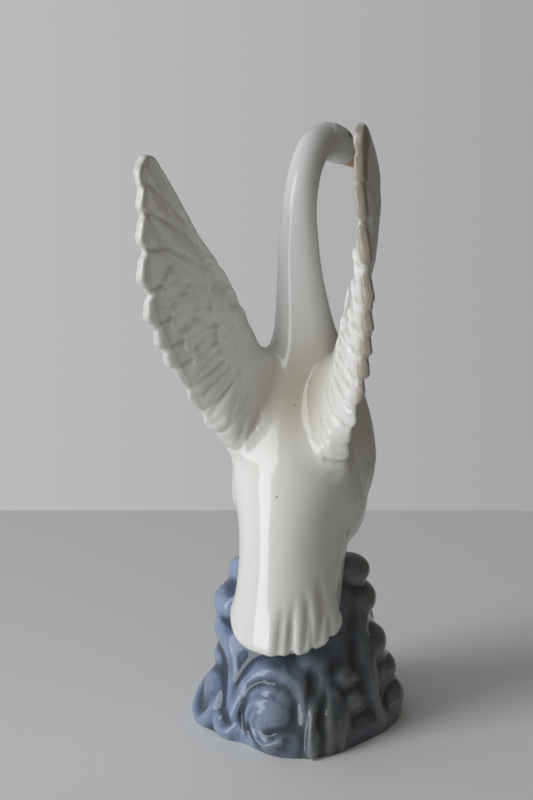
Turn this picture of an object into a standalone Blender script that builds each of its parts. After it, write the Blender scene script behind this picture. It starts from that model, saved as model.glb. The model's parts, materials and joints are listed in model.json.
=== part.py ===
"""Porcelain bird with raised wings on a wave-shaped base, one cast and fired piece.

Metres, +Z up. The bird faces +Y, its right side is at +X, and the foot of the base lies at z = 0.
"""

import math

import bmesh
import bpy
import numpy as np
from mathutils import Matrix, Vector

MM = 0.001

# Surface of the cast piece
SKIN_GRAIN = 0.75 * MM
GLAZE_SMOOTH_COUNT = 4
WATER_GRAIN = 1 * MM
WATER_SMOOTH_COUNT = 14
FACET_BUDGET = 11200

# Trunk from rump to crown: points of its axis on the mid-plane (y, z) with half width and half depth there
TRUNK = (
    (-7 * MM, 34 * MM, 14 * MM, 15 * MM),
    (-8 * MM, 44 * MM, 17.0 * MM, 18 * MM),
    (-8.3 * MM, 54 * MM, 17.8 * MM, 19.5 * MM),
    (-7.0 * MM, 65 * MM, 18.6 * MM, 21.5 * MM),
    (-3.8 * MM, 76 * MM, 20.4 * MM, 23 * MM),
    (0.8 * MM, 87 * MM, 24.4 * MM, 25 * MM),
    (4.5 * MM, 98 * MM, 26.4 * MM, 25 * MM),
    (7.5 * MM, 110 * MM, 25.4 * MM, 22.8 * MM),
    (9.0 * MM, 121 * MM, 21 * MM, 19.3 * MM),
    (8.6 * MM, 131 * MM, 15.5 * MM, 15.5 * MM),
    (6.6 * MM, 140.5 * MM, 11.6 * MM, 11.8 * MM),
    (3.6 * MM, 151 * MM, 9.5 * MM, 9.6 * MM),
    (0.3 * MM, 163 * MM, 7.9 * MM, 8.1 * MM),
    (-1.5 * MM, 175 * MM, 6.9 * MM, 7.0 * MM),
    (-0.8 * MM, 187 * MM, 6.0 * MM, 6.0 * MM),
    (4.1 * MM, 197.4 * MM, 5.7 * MM, 5.7 * MM),
    (12.8 * MM, 204.4 * MM, 5.8 * MM, 5.8 * MM),
    (22.5 * MM, 207.0 * MM, 6.2 * MM, 6.2 * MM),
    (31 * MM, 206.6 * MM, 6.2 * MM, 6.2 * MM),
)
HEAD_FROM_NECK = (2.2 * MM, 1 * MM, -0.2 * MM)
HEAD_TURN = 25
HEAD_BOW = 24
HEAD_LENGTH = 23 * MM
HEAD_WIDTH = 13 * MM
HEAD_HEIGHT = 14 * MM
BEAK_LENGTH = 15 * MM
BEAK_WIDTH = 7.5 * MM
BEAK_DEPTH = 6.5 * MM
EYE_SIZE = 1.7 * MM

# Wings: shoulder joint, directions of the blade, and its leading edge in shares of its length and chord
SHOULDER = (12 * MM, 6 * MM, 135 * MM)
LEFT_WING = {"raise": 50, "sweep": 24, "lean": 1.8, "curl": 0, "lobe": (-6 * MM, 19 * MM, -1.4 * MM)}
RIGHT_WING = {"raise": 61, "sweep": 23, "lean": 1.2, "curl": 3.4 * MM, "lobe": (-13 * MM, 18 * MM, 0)}
WING_SET_BACK = 2.0 * MM
WING_ROOT_CAMBER = 7 * MM
WING_TIP_CAMBER = 4 * MM
WING_BOW = 5 * MM
WING_TWIST = 5
WING_CURL_START = 0.68
WING_CHORD = 40 * MM
WING_LENGTH = 95 * MM
WING_LEADING = (
    (-0.316, 0.225), (-0.168, 0.075), (0, 0.075), (0.084, 0.053), (0.253, 0), (0.442, -0.053),
    (0.632, -0.098), (0.8, -0.13), (0.905, -0.115),
)
WING_THICK = 6.4 * MM
WING_EDGE = 2.4 * MM

# Feathers: where each ends, in the same shares, from the wing's tip to its root, and how their headings turn
FEATHER_FULLNESS = 0.5
FEATHER_TILT = 0.25 * MM
FEATHER_GROWTH = 0.9 * MM
FLIGHT_ENDS = (
    (0.995, 0.02), (0.921, 0.235), (0.84, 0.435), (0.728, 0.637), (0.584, 0.785), (0.463, 0.85),
    (0.363, 0.89), (0.267, 0.92), (0.16, 0.97), (0.037, 0.99), (-0.055, 0.965), (-0.137, 0.96),
    (-0.226, 0.935), (-0.295, 0.85),
)
FLIGHT_OVERLAP = 0.58
FLIGHT_HEADINGS = (4, 116)
FLIGHT_LENGTHS = (50 * MM, 24 * MM)
FLIGHT_ROOT_THICK = 5.2 * MM
FLIGHT_TIP_THICK = 4.2 * MM
PLATE_INSET = 7.5 * MM
COVERT_THICK = 2.4 * MM
COVERT_OVERLAP = 0.68
GREATER_COVERT_ENDS = (
    (0.618, 0.55), (0.495, 0.657), (0.379, 0.695), (0.284, 0.75), (0.2, 0.8), (0.111, 0.9), (0.042, 0.91),
    (-0.037, 0.925), (-0.107, 0.91), (-0.174, 0.9), (-0.232, 0.875),
)
GREATER_COVERT_HEADINGS = (34, 112)
GREATER_COVERT_LENGTHS = (26 * MM, 23 * MM)
GREATER_COVERT_RISE = 3.2 * MM
LESSER_COVERT_ENDS = (
    (0.442, 0.087), (0.368, 0.275), (0.284, 0.438), (0.2, 0.55), (0.118, 0.625), (0.042, 0.685),
    (-0.046, 0.725), (-0.129, 0.735),
)
LESSER_COVERT_HEADINGS = (20, 108)
LESSER_COVERT_LENGTHS = (20 * MM, 18 * MM)
LESSER_COVERT_RISE = 3.6 * MM
MARGIN_COVERT_ENDS = (
    (0.474, -0.01), (0.395, 0.015), (0.316, 0.045), (0.237, 0.085), (0.158, 0.135),
)
MARGIN_COVERT_HEADINGS = (2, 20)
MARGIN_COVERT_LENGTHS = (11 * MM, 11 * MM)
MARGIN_COVERT_RISE = 3.4 * MM
SHOULDER_LOBE_SIZE = (18 * MM, 19 * MM, 6 * MM)
SHOULDER_LOBE_FULLNESS = 0.8

# Tail: one rounded fan round the back of the rump, ribbed towards its end on the right
TAIL_MIDDLE = -8 * MM
TAIL_HALF_WIDTH = 17.6 * MM
TAIL_HALF_DEPTH = 19.6 * MM
TAIL_SINK = 3.4 * MM
TAIL_FLARE = 2.4 * MM
TAIL_TOP = 72 * MM
TAIL_END = 35 * MM
TAIL_SIDE_RISE = 9 * MM
TAIL_SWEEP = 78
TAIL_THICK = 4.4 * MM
TAIL_RIDGE = 1 * MM
TAIL_RIB_COUNT = 4
TAIL_RIB_DEPTH = 1.5 * MM
TAIL_RIB_START = 0.45

# Thighs and legs
THIGH_CENTRE = (15.4 * MM, 1 * MM, 88.5 * MM)
THIGH_SIZE = (9.2 * MM, 14 * MM, 21 * MM)
LEG_RADIUS = 2.4 * MM
LEFT_LEG = (-17.8 * MM, -1 * MM)
RIGHT_LEG = (13.5 * MM, 3 * MM)

# Base: outlines round its middle as (bearing, reach), from the foot up to where the mound closes
BASE_MIDDLE = (0, 4 * MM)
FOOT_OUTLINE = (
    (-180, 37.5 * MM), (-162, 38.5 * MM), (-148, 37.5 * MM), (-132, 36.5 * MM), (-116, 36 * MM),
    (-104, 35 * MM), (-90, 39.5 * MM), (-78, 41 * MM), (-60, 39.5 * MM), (-42, 36 * MM), (-25, 34.5 * MM),
    (2, 36 * MM), (28, 38.5 * MM), (48, 38.5 * MM), (72, 36 * MM), (92, 38 * MM), (112, 36 * MM),
    (135, 37 * MM), (158, 35.5 * MM),
)
LOWER_OUTLINE = (
    (-162, 31 * MM), (-130, 28.5 * MM), (-91, 29 * MM), (-60, 30 * MM), (-30, 29 * MM), (18, 33 * MM),
    (50, 31 * MM), (90, 32 * MM), (135, 31.5 * MM),
)
MIDDLE_OUTLINE = (
    (-162, 29.5 * MM), (-125, 25 * MM), (-90, 22.5 * MM), (-60, 23 * MM), (-25, 23.5 * MM), (18, 25 * MM),
    (60, 27 * MM), (100, 28 * MM), (140, 28 * MM),
)
UPPER_OUTLINE = (
    (-162, 28 * MM), (-125, 21 * MM), (-90, 17 * MM), (-50, 18 * MM), (-15, 21 * MM), (18, 23.5 * MM),
    (90, 25 * MM), (140, 26 * MM),
)
TOP_OUTLINE = ((-162, 20.5 * MM), (-90, 10 * MM), (18, 15 * MM), (90, 17 * MM))
MOUND_LEVELS = (
    (-3 * MM, FOOT_OUTLINE, 0.98), (4 * MM, FOOT_OUTLINE, 0.99), (11 * MM, FOOT_OUTLINE, 0.9),
    (20 * MM, LOWER_OUTLINE, 1), (36 * MM, MIDDLE_OUTLINE, 1), (49 * MM, UPPER_OUTLINE, 1),
    (58 * MM, TOP_OUTLINE, 1),
)
FOOT_RIM = 7 * MM
FOOT_RECESS = 1.8 * MM
VENT_RADIUS = 4 * MM
VENT_DEPTH = 14 * MM

# Rounded swells of water: bearing, height and how proud each stands, and half sizes along, out and up
SWELLS = (
    (-91, 14 * MM, 4.6 * MM, (8.5 * MM, 8 * MM, 9.5 * MM)),
    (-150, 10 * MM, 2 * MM, (10 * MM, 8 * MM, 10 * MM)),
    (-65, 27 * MM, 1.6 * MM, (8 * MM, 8 * MM, 8 * MM)),
    (-38, 23 * MM, 2.6 * MM, (7.5 * MM, 7 * MM, 4.4 * MM)),
    (-37, 14.5 * MM, 2.4 * MM, (7 * MM, 7 * MM, 4.4 * MM)),
    (12, 29 * MM, 3.4 * MM, (14 * MM, 8 * MM, 6 * MM)),
    (22, 18 * MM, 1.8 * MM, (12 * MM, 9 * MM, 6 * MM)),
    (16, 8 * MM, 3 * MM, (13 * MM, 9 * MM, 7.5 * MM)),
    (19, 55.5 * MM, 4.8 * MM, (10 * MM, 8 * MM, 5.5 * MM)),
    (20, 45 * MM, 3.2 * MM, (13 * MM, 8 * MM, 6 * MM)),
    (-163, 55.5 * MM, 4 * MM, (10 * MM, 8 * MM, 5.5 * MM)),
    (-164, 43.5 * MM, 3 * MM, (12 * MM, 8 * MM, 6.5 * MM)),
    (-166, 33 * MM, 2.4 * MM, (12 * MM, 8 * MM, 6 * MM)),
    (-166, 23 * MM, 1.6 * MM, (12 * MM, 8 * MM, 6 * MM)),
    (90, 15 * MM, 3 * MM, (12 * MM, 9 * MM, 12 * MM)),
    (60, 41 * MM, 3 * MM, (9 * MM, 8 * MM, 9 * MM)),
    (122, 41 * MM, 3 * MM, (9 * MM, 8 * MM, 9 * MM)),
    (45, 14 * MM, 3 * MM, (10 * MM, 9 * MM, 11 * MM)),
    (137, 12 * MM, 3 * MM, (11 * MM, 9 * MM, 11 * MM)),
)

# Crests: ridges of water, with the thickness of each, how proud it stands, and its path as (bearing, height)
CRESTS = (
    # The big wave at the back rises, rolls over its swell and falls, with fainter rolls inside it
    (3.3 * MM, 5.2 * MM, (
        (-117, 8 * MM), (-115.5, 15 * MM), (-111, 21.5 * MM), (-101, 25.3 * MM), (-88, 25.3 * MM),
        (-76, 22.3 * MM), (-70, 17 * MM), (-67.5, 9 * MM), (-67.5, 0),
    )),
    (1.9 * MM, 4.4 * MM, (
        (-104, 19 * MM), (-104.5, 13 * MM), (-99, 7 * MM), (-90, 4.5 * MM), (-81, 7 * MM),
    )),
    (1.7 * MM, 2.6 * MM, ((-112, 9 * MM), (-107, 4 * MM), (-98, 1 * MM))),
    # The broad ridge that sweeps down on the left of it, and the small crescent at its foot
    (5.4 * MM, 3.6 * MM, (
        (-163, 42 * MM), (-152, 35 * MM), (-139, 30.5 * MM), (-131, 26 * MM), (-127, 20 * MM),
        (-124, 14 * MM), (-122, 8 * MM),
    )),
    (2.6 * MM, 3.2 * MM, ((-131, 8 * MM), (-127, 3.5 * MM), (-119, 3 * MM), (-113, 6.5 * MM))),
    # Falling folds on its right
    (2.4 * MM, 2.8 * MM, ((-56, 31 * MM), (-56, 23 * MM), (-57, 16 * MM), (-57, 9 * MM), (-58, 0))),
    (2.2 * MM, 2.4 * MM, ((-50, 21 * MM), (-49, 14 * MM), (-50, 8 * MM), (-51, 0))),
    (3.6 * MM, 3 * MM, (
        (5, 54 * MM), (-4, 43 * MM), (-12, 34 * MM), (-16, 25 * MM), (-16, 14 * MM), (-13, 2 * MM),
    )),
    # A rolled lobe at the left, closed round its dimple
    (2.8 * MM, 3 * MM, (
        (-147, 18.5 * MM), (-158, 16 * MM), (-164, 9.5 * MM), (-158, 3 * MM), (-147, 1 * MM), (-138, 5 * MM),
        (-137, 13 * MM), (-147, 18.5 * MM),
    )),
    # The front: a second rolling wave between two folds
    (4 * MM, 4 * MM, (
        (74, 2 * MM), (68, 15 * MM), (76, 27 * MM), (91, 32 * MM), (105, 27 * MM), (107, 18 * MM),
        (97, 13 * MM),
    )),
    (4 * MM, 3.4 * MM, ((38, 52 * MM), (44, 37 * MM), (48, 22 * MM), (50, 4 * MM))),
    (4 * MM, 3.4 * MM, ((158, 50 * MM), (148, 37 * MM), (144, 22 * MM), (152, 4 * MM))),
)

WHITE = (0.72, 0.71, 0.68, 1)
GLOSS = 0.08


def clear_scene():
    for thing in list(bpy.data.objects):
        bpy.data.objects.remove(thing, do_unlink=True)


def smooth_line(points, count):
    """Points spread evenly along a smooth curve through the given ones, end to end."""
    points = np.array(points, float)
    padded = np.vstack([2 * points[0] - points[1], points, 2 * points[-1] - points[-2]])
    fine = []
    for before, start, end, after in zip(padded, padded[1:], padded[2:], padded[3:]):
        for t in np.linspace(0, 1, 24, endpoint=False):
            fine.append(
                0.5
                * (
                    2 * start
                    + (end - before) * t
                    + (2 * before - 5 * start + 4 * end - after) * t**2
                    + (3 * start - before - 3 * end + after) * t**3
                )
            )
    fine.append(points[-1])
    fine = np.array(fine)
    steps = np.linalg.norm(np.diff(fine, axis=0), axis=1)
    along = np.concatenate([[0], np.cumsum(steps)])
    wanted = np.linspace(0, along[-1], count)
    return np.column_stack([np.interp(wanted, along, fine[:, k]) for k in range(fine.shape[1])])


def mesh_from_rings(name, rings):
    """A closed solid lofted through rings of equal point counts."""
    shape = bmesh.new()
    loops = [[shape.verts.new(point) for point in ring] for ring in rings]
    for lower, upper in zip(loops, loops[1:]):
        for k in range(len(lower)):
            following = (k + 1) % len(lower)
            shape.faces.new((lower[k], lower[following], upper[following], upper[k]))
    shape.faces.new(loops[0][::-1])
    shape.faces.new(loops[-1])
    bmesh.ops.recalc_face_normals(shape, faces=shape.faces)
    return finish_mesh(name, shape)


def finish_mesh(name, shape):
    mesh = bpy.data.meshes.new(name)
    shape.to_mesh(mesh)
    shape.free()
    thing = bpy.data.objects.new(name, mesh)
    bpy.context.scene.collection.objects.link(thing)
    return thing


def ellipsoid(name, centre, half_sizes, turn=None, fullness=1):
    """A ball drawn out along its axes; a fullness under 1 squares its sides."""
    shape = bmesh.new()
    bmesh.ops.create_uvsphere(shape, u_segments=28, v_segments=18, radius=1)
    for corner in shape.verts:
        corner.co = [math.copysign(abs(value) ** fullness, value) for value in corner.co]
    bmesh.ops.scale(shape, vec=Vector(half_sizes), verts=shape.verts)
    if turn:
        bmesh.ops.rotate(shape, matrix=turn, verts=shape.verts)
    bmesh.ops.translate(shape, vec=Vector(centre), verts=shape.verts)
    return finish_mesh(name, shape)


def tapered_tube(name, points, radii):
    """A round bar along a path, with its own radius at each point."""
    curve = bpy.data.curves.new(name, "CURVE")
    curve.dimensions = "3D"
    curve.bevel_depth = 1
    curve.bevel_resolution = 4
    curve.use_fill_caps = True
    spline = curve.splines.new("POLY")
    spline.points.add(len(points) - 1)
    for place, point, radius in zip(spline.points, points, radii):
        place.co = (*point, 1)
        place.radius = radius
    bar = bpy.data.objects.new(name + "_path", curve)
    bpy.context.scene.collection.objects.link(bar)
    graph = bpy.context.evaluated_depsgraph_get()
    mesh = bpy.data.meshes.new_from_object(bar.evaluated_get(graph))
    bpy.data.objects.remove(bar, do_unlink=True)
    shape = bmesh.new()
    shape.from_mesh(mesh)
    bpy.data.meshes.remove(mesh)
    bmesh.ops.remove_doubles(shape, verts=shape.verts, dist=0.00001)
    bmesh.ops.recalc_face_normals(shape, faces=shape.faces)
    return finish_mesh(name, shape)


def trunk():
    """Body and neck in one sweep, each section square to the axis."""
    line = smooth_line(TRUNK, 110)
    headings = np.gradient(line[:, :2], axis=0)
    headings /= np.linalg.norm(headings, axis=1)[:, None]
    rings = []
    for (y, z, half_width, half_depth), (forward, upward) in zip(line, headings):
        rings.append(
            [
                (
                    half_width * math.cos(turn),
                    y + half_depth * math.sin(turn) * upward,
                    z - half_depth * math.sin(turn) * forward,
                )
                for turn in np.linspace(0, 2 * math.pi, 40, endpoint=False)
            ]
        )
    return [mesh_from_rings("trunk", rings)]


def head_frame():
    neck_end = Vector((0, TRUNK[-1][0], TRUNK[-1][1]))
    return (
        Matrix.Translation(neck_end + Vector(HEAD_FROM_NECK))
        @ Matrix.Rotation(math.radians(-HEAD_TURN), 4, "Z")
        @ Matrix.Rotation(math.radians(-HEAD_BOW), 4, "X")
    )


def head():
    """Skull, cheeks, beak and the slight mound of each eye, in a frame that looks along +Y."""
    frame = head_frame()
    turn = frame.to_3x3()
    skull = ellipsoid("skull", frame.translation, (HEAD_WIDTH / 2, HEAD_LENGTH / 2, HEAD_HEIGHT / 2), turn)
    rings = []
    start = HEAD_LENGTH * 0.22
    for share in np.linspace(0, 1, 14):
        along = start + share * (HEAD_LENGTH / 2 - start + BEAK_LENGTH)
        closing = math.sqrt(max(1 - max((share - 0.86) / 0.14, 0) ** 2, 0.01))
        width = (HEAD_WIDTH * 0.84 * (1 - share) ** 2 + BEAK_WIDTH * (1 - (1 - share) ** 2)) / 2 * closing
        depth = (HEAD_HEIGHT * 0.84 * (1 - share) ** 2 + BEAK_DEPTH * (1 - 0.45 * share) * (1 - (1 - share) ** 2))
        depth = depth / 2 * closing
        drop = -0.10 * HEAD_HEIGHT * share
        rings.append(
            [
                frame @ Vector((width * math.cos(a), along, drop + depth * math.sin(a)))
                for a in np.linspace(0, 2 * math.pi, 24, endpoint=False)
            ]
        )
    beak = mesh_from_rings("beak", rings)
    eyes = []
    for side in (-1, 1):
        place = frame @ Vector((side * HEAD_WIDTH * 0.43, HEAD_LENGTH * 0.24, HEAD_HEIGHT * 0.14))
        eyes.append(ellipsoid("eye", place, (EYE_SIZE * 0.6, EYE_SIZE, EYE_SIZE * 0.8), turn))
    return [skull, beak, *eyes]


class Wing:
    """The frame of one raised wing. Its places are given along the span, across the chord and out of the back."""

    def __init__(self, side, pose):
        sweep = math.radians(pose["sweep"])
        lean = math.radians(pose["lean"])
        raise_angle = math.radians(pose["raise"])
        inward = Vector((-math.cos(lean) * math.cos(sweep), -math.cos(lean) * math.sin(sweep), -math.sin(lean)))
        level = Vector((math.sin(sweep), -math.cos(sweep), 0))
        upward = level.cross(inward)
        if upward.z < 0:
            upward.negate()
        span = level * math.cos(raise_angle) + upward * math.sin(raise_angle)
        chord = level * math.sin(raise_angle) - upward * math.cos(raise_angle)
        self.side = side
        self.curl = pose["curl"]
        self.origin = self.mirrored(Vector(SHOULDER))
        self.span = self.mirrored(span)
        self.chord = self.mirrored(chord)
        self.out = self.mirrored(inward)

    def mirrored(self, vector):
        return Vector((vector.x * self.side, vector.y, vector.z))

    def at(self, p, q, r=0.0):
        """A place on the wing, whose blade is hollow across, bowed along, twisted and curled to its tip."""
        share = min(max(p / WING_LENGTH, 0), 1)
        camber = WING_ROOT_CAMBER + (WING_TIP_CAMBER - WING_ROOT_CAMBER) * share
        hollow = camber * max(1 - (2 * q / WING_CHORD - 1) ** 2, 0)
        bow = WING_BOW * max(1 - (2 * p / WING_LENGTH - 1) ** 2, 0)
        bow -= self.curl * (max(share - WING_CURL_START, 0) / (1 - WING_CURL_START)) ** 2
        twist = math.radians(WING_TWIST) * share
        across = (q - WING_CHORD) * math.cos(twist) - (r + hollow) * math.sin(twist)
        outward = (q - WING_CHORD) * math.sin(twist) + (r + hollow) * math.cos(twist)
        middle = self.origin + self.span * p + self.chord * (WING_CHORD + across)
        return middle + self.out * (outward - bow - WING_SET_BACK)


def on_blade(shares):
    return np.array(shares) * (WING_LENGTH, WING_CHORD)


def plate(wing):
    """The solid blade of the wing, thick behind its leading edge and thinner where the flights leave it."""
    leading = smooth_line(on_blade(WING_LEADING), 120)
    trailing = smooth_line(on_blade(FLIGHT_ENDS[::-1]), 120)
    rings = []
    for p in np.linspace(leading[0, 0], leading[-1, 0], 40):
        front = np.interp(p, leading[:, 0], leading[:, 1])
        back = np.interp(p, trailing[:, 0], trailing[:, 1]) - PLATE_INSET
        chord = max(back - front, 0.1 * WING_CHORD)
        thick = WING_THICK * (0.6 + 0.4 * min(chord / WING_CHORD, 1))
        shares = 0.5 - 0.5 * np.cos(np.linspace(0, math.pi, 12))
        upper = []
        lower = []
        for share in shares:
            nose = math.sqrt(max(1 - (1 - min(share / 0.18, 1)) ** 2, 0))
            half = 0.5 * (thick + (WING_EDGE - thick) * min(max((share - 0.18) / 0.7, 0), 1)) * nose
            half *= math.sqrt(max(1 - max((share - 0.93) / 0.07, 0) ** 2, 0.0))
            upper.append(wing.at(p, front + share * chord, half))
            lower.append(wing.at(p, front + share * chord, -half))
        rings.append(upper + lower[-2:0:-1])
    return mesh_from_rings("wing_plate", rings)


def feather(wing, end, heading, length, half_width, thick, lift, point):
    """One feather: a crowned blade on a bent axis in the wing's surface, round or drawn to a point at its end."""
    fine = np.linspace(1, 0, 61)
    turns = np.radians(heading * (0.25 + 0.75 * fine**2))
    steps = np.column_stack([np.cos(turns), np.sin(turns)]) * length / (len(fine) - 1)
    grown_end = np.array(end) + steps[0] / np.linalg.norm(steps[0]) * FEATHER_GROWTH
    axis = (grown_end - np.cumsum(steps, axis=0))[::-1]
    turns = turns[::-1]
    bend = 1 - min((1 + 1.6 * point) * half_width / length, 0.9)
    close = 1 - 0.55 * thick[1] / length
    rings = []
    for share in (0, 0.15, 0.3, 0.45, 0.56, 0.66, 0.74, 0.8, 0.85, 0.9, 0.94, 0.97, 0.985, 0.995):
        index = int(share * (len(fine) - 1))
        across = np.array([-math.sin(turns[index]), math.cos(turns[index])])
        narrowing = max(share - bend, 0) / (1 - bend)
        width = half_width * (0.5 + 0.5 * math.sin(min(share / 0.75, 1) * math.pi / 2))
        width *= (1 - narrowing**2) ** (0.5 + 0.35 * point)
        half = 0.5 * (thick[0] + (thick[1] - thick[0]) * share)
        half *= math.sqrt(1 - (max(share - close, 0) / (1 - close)) ** 2)
        ring = []
        for turn in np.linspace(0, 2 * math.pi, 16, endpoint=False):
            side = math.copysign(abs(math.cos(turn)) ** FEATHER_FULLNESS, math.cos(turn))
            crown = math.copysign(abs(math.sin(turn)) ** FEATHER_FULLNESS, math.sin(turn))
            p, q = axis[index] + across * width * side
            ring.append(wing.at(p, q, lift * share + half * crown - FEATHER_TILT * side))
        rings.append(ring)
    return mesh_from_rings("feather", rings)


def feather_row(wing, ends, headings, lengths, overlap, thick, lift, pointed_from):
    """Feathers side by side, as wide as their ends lie apart, each from some place on drawn to a point."""
    ends = on_blade(ends)
    last = len(ends) - 1
    feathers = []
    for index, end in enumerate(ends):
        share = index / last
        heading = headings[0] + (headings[1] - headings[0]) * share**0.6
        gaps = [np.linalg.norm(ends[k] - end) for k in (index - 1, index + 1) if 0 <= k <= last]
        length = lengths[0] + (lengths[1] - lengths[0]) * share
        point = min(max((index - pointed_from) / 2, 0), 1)
        feathers.append(
            feather(wing, end, heading, length, np.mean(gaps) * overlap, thick, lift, point)
        )
    return feathers


def wing(side, pose):
    blade = Wing(side, pose)
    flight = (FLIGHT_ROOT_THICK, FLIGHT_TIP_THICK)
    covert = (COVERT_THICK, COVERT_THICK)
    rounded = len(FLIGHT_ENDS)
    pieces = [plate(blade)]
    pieces += feather_row(
        blade, FLIGHT_ENDS, FLIGHT_HEADINGS, FLIGHT_LENGTHS, FLIGHT_OVERLAP, flight, 0, rounded
    )
    for ends, headings, lengths, rise, pointed_from in (
        (GREATER_COVERT_ENDS, GREATER_COVERT_HEADINGS, GREATER_COVERT_LENGTHS, GREATER_COVERT_RISE, 3),
        (LESSER_COVERT_ENDS, LESSER_COVERT_HEADINGS, LESSER_COVERT_LENGTHS, LESSER_COVERT_RISE, rounded),
        (MARGIN_COVERT_ENDS, MARGIN_COVERT_HEADINGS, MARGIN_COVERT_LENGTHS, MARGIN_COVERT_RISE, rounded),
    ):
        lift = rise - COVERT_THICK / 2
        pieces += feather_row(blade, ends, headings, lengths, COVERT_OVERLAP, covert, lift, pointed_from)
    turn = Matrix((blade.span, blade.chord, blade.out)).transposed()
    place = blade.at(*pose["lobe"])
    pieces.append(ellipsoid("shoulder_lobe", place, SHOULDER_LOBE_SIZE, turn, SHOULDER_LOBE_FULLNESS))
    return pieces


def tail():
    """The tail fan as one rounded shell, hung from the rump and ridged in the middle."""
    sweep = math.radians(TAIL_SWEEP)
    rings = []
    for t in (0, 0.12, 0.24, 0.36, 0.46, 0.55, 0.63, 0.7, 0.77, 0.83, 0.88, 0.92, 0.95, 0.975, 0.99, 0.998):
        outer = []
        inner = []
        for turn in np.linspace(-sweep, sweep, 81):
            share = turn / sweep
            ribbed = min(max((t - TAIL_RIB_START) / (1 - TAIL_RIB_START), 0), 1) * min(max(share / 0.1, 0), 1)
            groove = ribbed * (1 - abs(math.sin(math.pi * TAIL_RIB_COUNT * share))) ** 2 * TAIL_RIB_DEPTH
            end = TAIL_END + TAIL_SIDE_RISE * abs(share) ** 3 + groove
            height = TAIL_TOP + (end - TAIL_TOP) * t
            half = 0.5 * TAIL_THICK * (0.35 + 0.65 * t) * math.sqrt(1 - (max(t - 0.94, 0) / 0.06) ** 2)
            half *= math.sqrt(1 - (max(abs(share) - 0.93, 0) / 0.0701) ** 2)
            ridge = TAIL_RIDGE * math.exp(-((share / 0.1) ** 2)) * t
            proud = TAIL_FLARE * t**2 - TAIL_SINK * (1 - t) ** 2
            for face, offset in ((outer, proud + half + ridge - groove), (inner, proud - half - groove)):
                across = (TAIL_HALF_WIDTH + offset) * math.sin(turn)
                back = TAIL_MIDDLE - (TAIL_HALF_DEPTH + offset) * math.cos(turn)
                face.append((across, back, height))
        rings.append(outer + inner[-2:0:-1])
    return [mesh_from_rings("tail", rings)]


def legs():
    pieces = []
    for side, (across, along) in ((-1, LEFT_LEG), (1, RIGHT_LEG)):
        x, y, z = THIGH_CENTRE
        lean = Matrix.Rotation(math.radians(8), 3, "X")
        pieces.append(ellipsoid("thigh", (x * side, y, z), THIGH_SIZE, lean))
        heights = np.linspace(z - THIGH_SIZE[2] * 0.6, MOUND_LEVELS[-2][0] - 6 * MM, 5)
        pieces.append(tapered_tube("leg", [(across, along, h) for h in heights], [LEG_RADIUS] * 5))
    return pieces


def reach_round(outline, bearings):
    """How far an outline reaches from the base's middle at each of the bearings, in degrees."""
    corners = [turn for turn, _ in outline]
    reaches = [reach for _, reach in outline]
    around = smooth_line(
        list(zip([b - 360 for b in corners] + corners + [b + 360 for b in corners], reaches * 3)), 600
    )
    return np.interp(bearings, around[:, 0], around[:, 1])


def around_base(bearing, reach, height):
    turn = math.radians(bearing)
    return Vector((BASE_MIDDLE[0] + reach * math.cos(turn), BASE_MIDDLE[1] + reach * math.sin(turn), height))


class Mound:
    """The mass of the base, lofted through its outlines, and places on its surface."""

    def __init__(self):
        self.bearings = np.linspace(-180, 180, 91)
        levels = [(h, *(reach_round(outline, self.bearings) * scale)) for h, outline, scale in MOUND_LEVELS]
        self.levels = smooth_line(levels, 40)

    def solid(self):
        rings = [
            [around_base(bearing, reach, height) for bearing, reach in zip(self.bearings[:-1], reaches)]
            for height, *reaches in self.levels
        ]
        return mesh_from_rings("mound", rings)

    def at(self, bearing, height, proud):
        reaches = [np.interp(bearing, self.bearings, level[1:]) for level in self.levels]
        reach = np.interp(height, self.levels[:, 0], reaches)
        return around_base(bearing, reach + proud, height)


def base():
    """The mound of water with its swells, and the crests that run down and roll over."""
    mound = Mound()
    pieces = [mound.solid()]
    for bearing, height, proud, sizes in SWELLS:
        turn = Matrix.Rotation(math.radians(bearing + 90), 3, "Z")
        pieces.append(ellipsoid("swell", mound.at(bearing, height, proud - sizes[1]), sizes, turn))
    for thick, proud, path in CRESTS:
        line = smooth_line([mound.at(bearing, height, proud - thick) for bearing, height in path], 40)
        radii = thick * np.sin(np.linspace(0.22, math.pi - 0.22, 40)) ** 0.35
        pieces.append(tapered_tube("crest", line, radii))
    return pieces


def foot_ring(height, inset):
    bearings = np.linspace(-180, 180, 90, endpoint=False)
    reaches = reach_round(FOOT_OUTLINE, bearings) - inset
    return [around_base(bearing, reach, height) for bearing, reach in zip(bearings, reaches)]


def floor_cutter():
    shape = bmesh.new()
    bmesh.ops.create_cube(shape, size=0.3)
    bmesh.ops.translate(shape, vec=(0, 0, -0.15), verts=shape.verts)
    return finish_mesh("floor_cutter", shape)


def recess_cutter():
    """The sunk middle of the underside, which leaves a flat foot rim to stand on."""
    below = foot_ring(-FOOT_RECESS, FOOT_RIM)
    mouth = foot_ring(0, FOOT_RIM)
    ceiling = foot_ring(FOOT_RECESS, FOOT_RIM + FOOT_RECESS)
    return mesh_from_rings("recess_cutter", [below, mouth, ceiling])


def vent_cutter():
    """The round hole that lets air out in the kiln."""
    shape = bmesh.new()
    bmesh.ops.create_cone(
        shape, cap_ends=True, segments=24, radius1=VENT_RADIUS, radius2=VENT_RADIUS, depth=2 * VENT_DEPTH
    )
    bmesh.ops.translate(shape, vec=(*BASE_MIDDLE, 0), verts=shape.verts)
    return finish_mesh("vent_cutter", shape)


def joined(name, forms):
    with bpy.context.temp_override(active_object=forms[0], selected_editable_objects=forms):
        bpy.ops.object.join()
    forms[0].name = name
    return forms[0]


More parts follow.
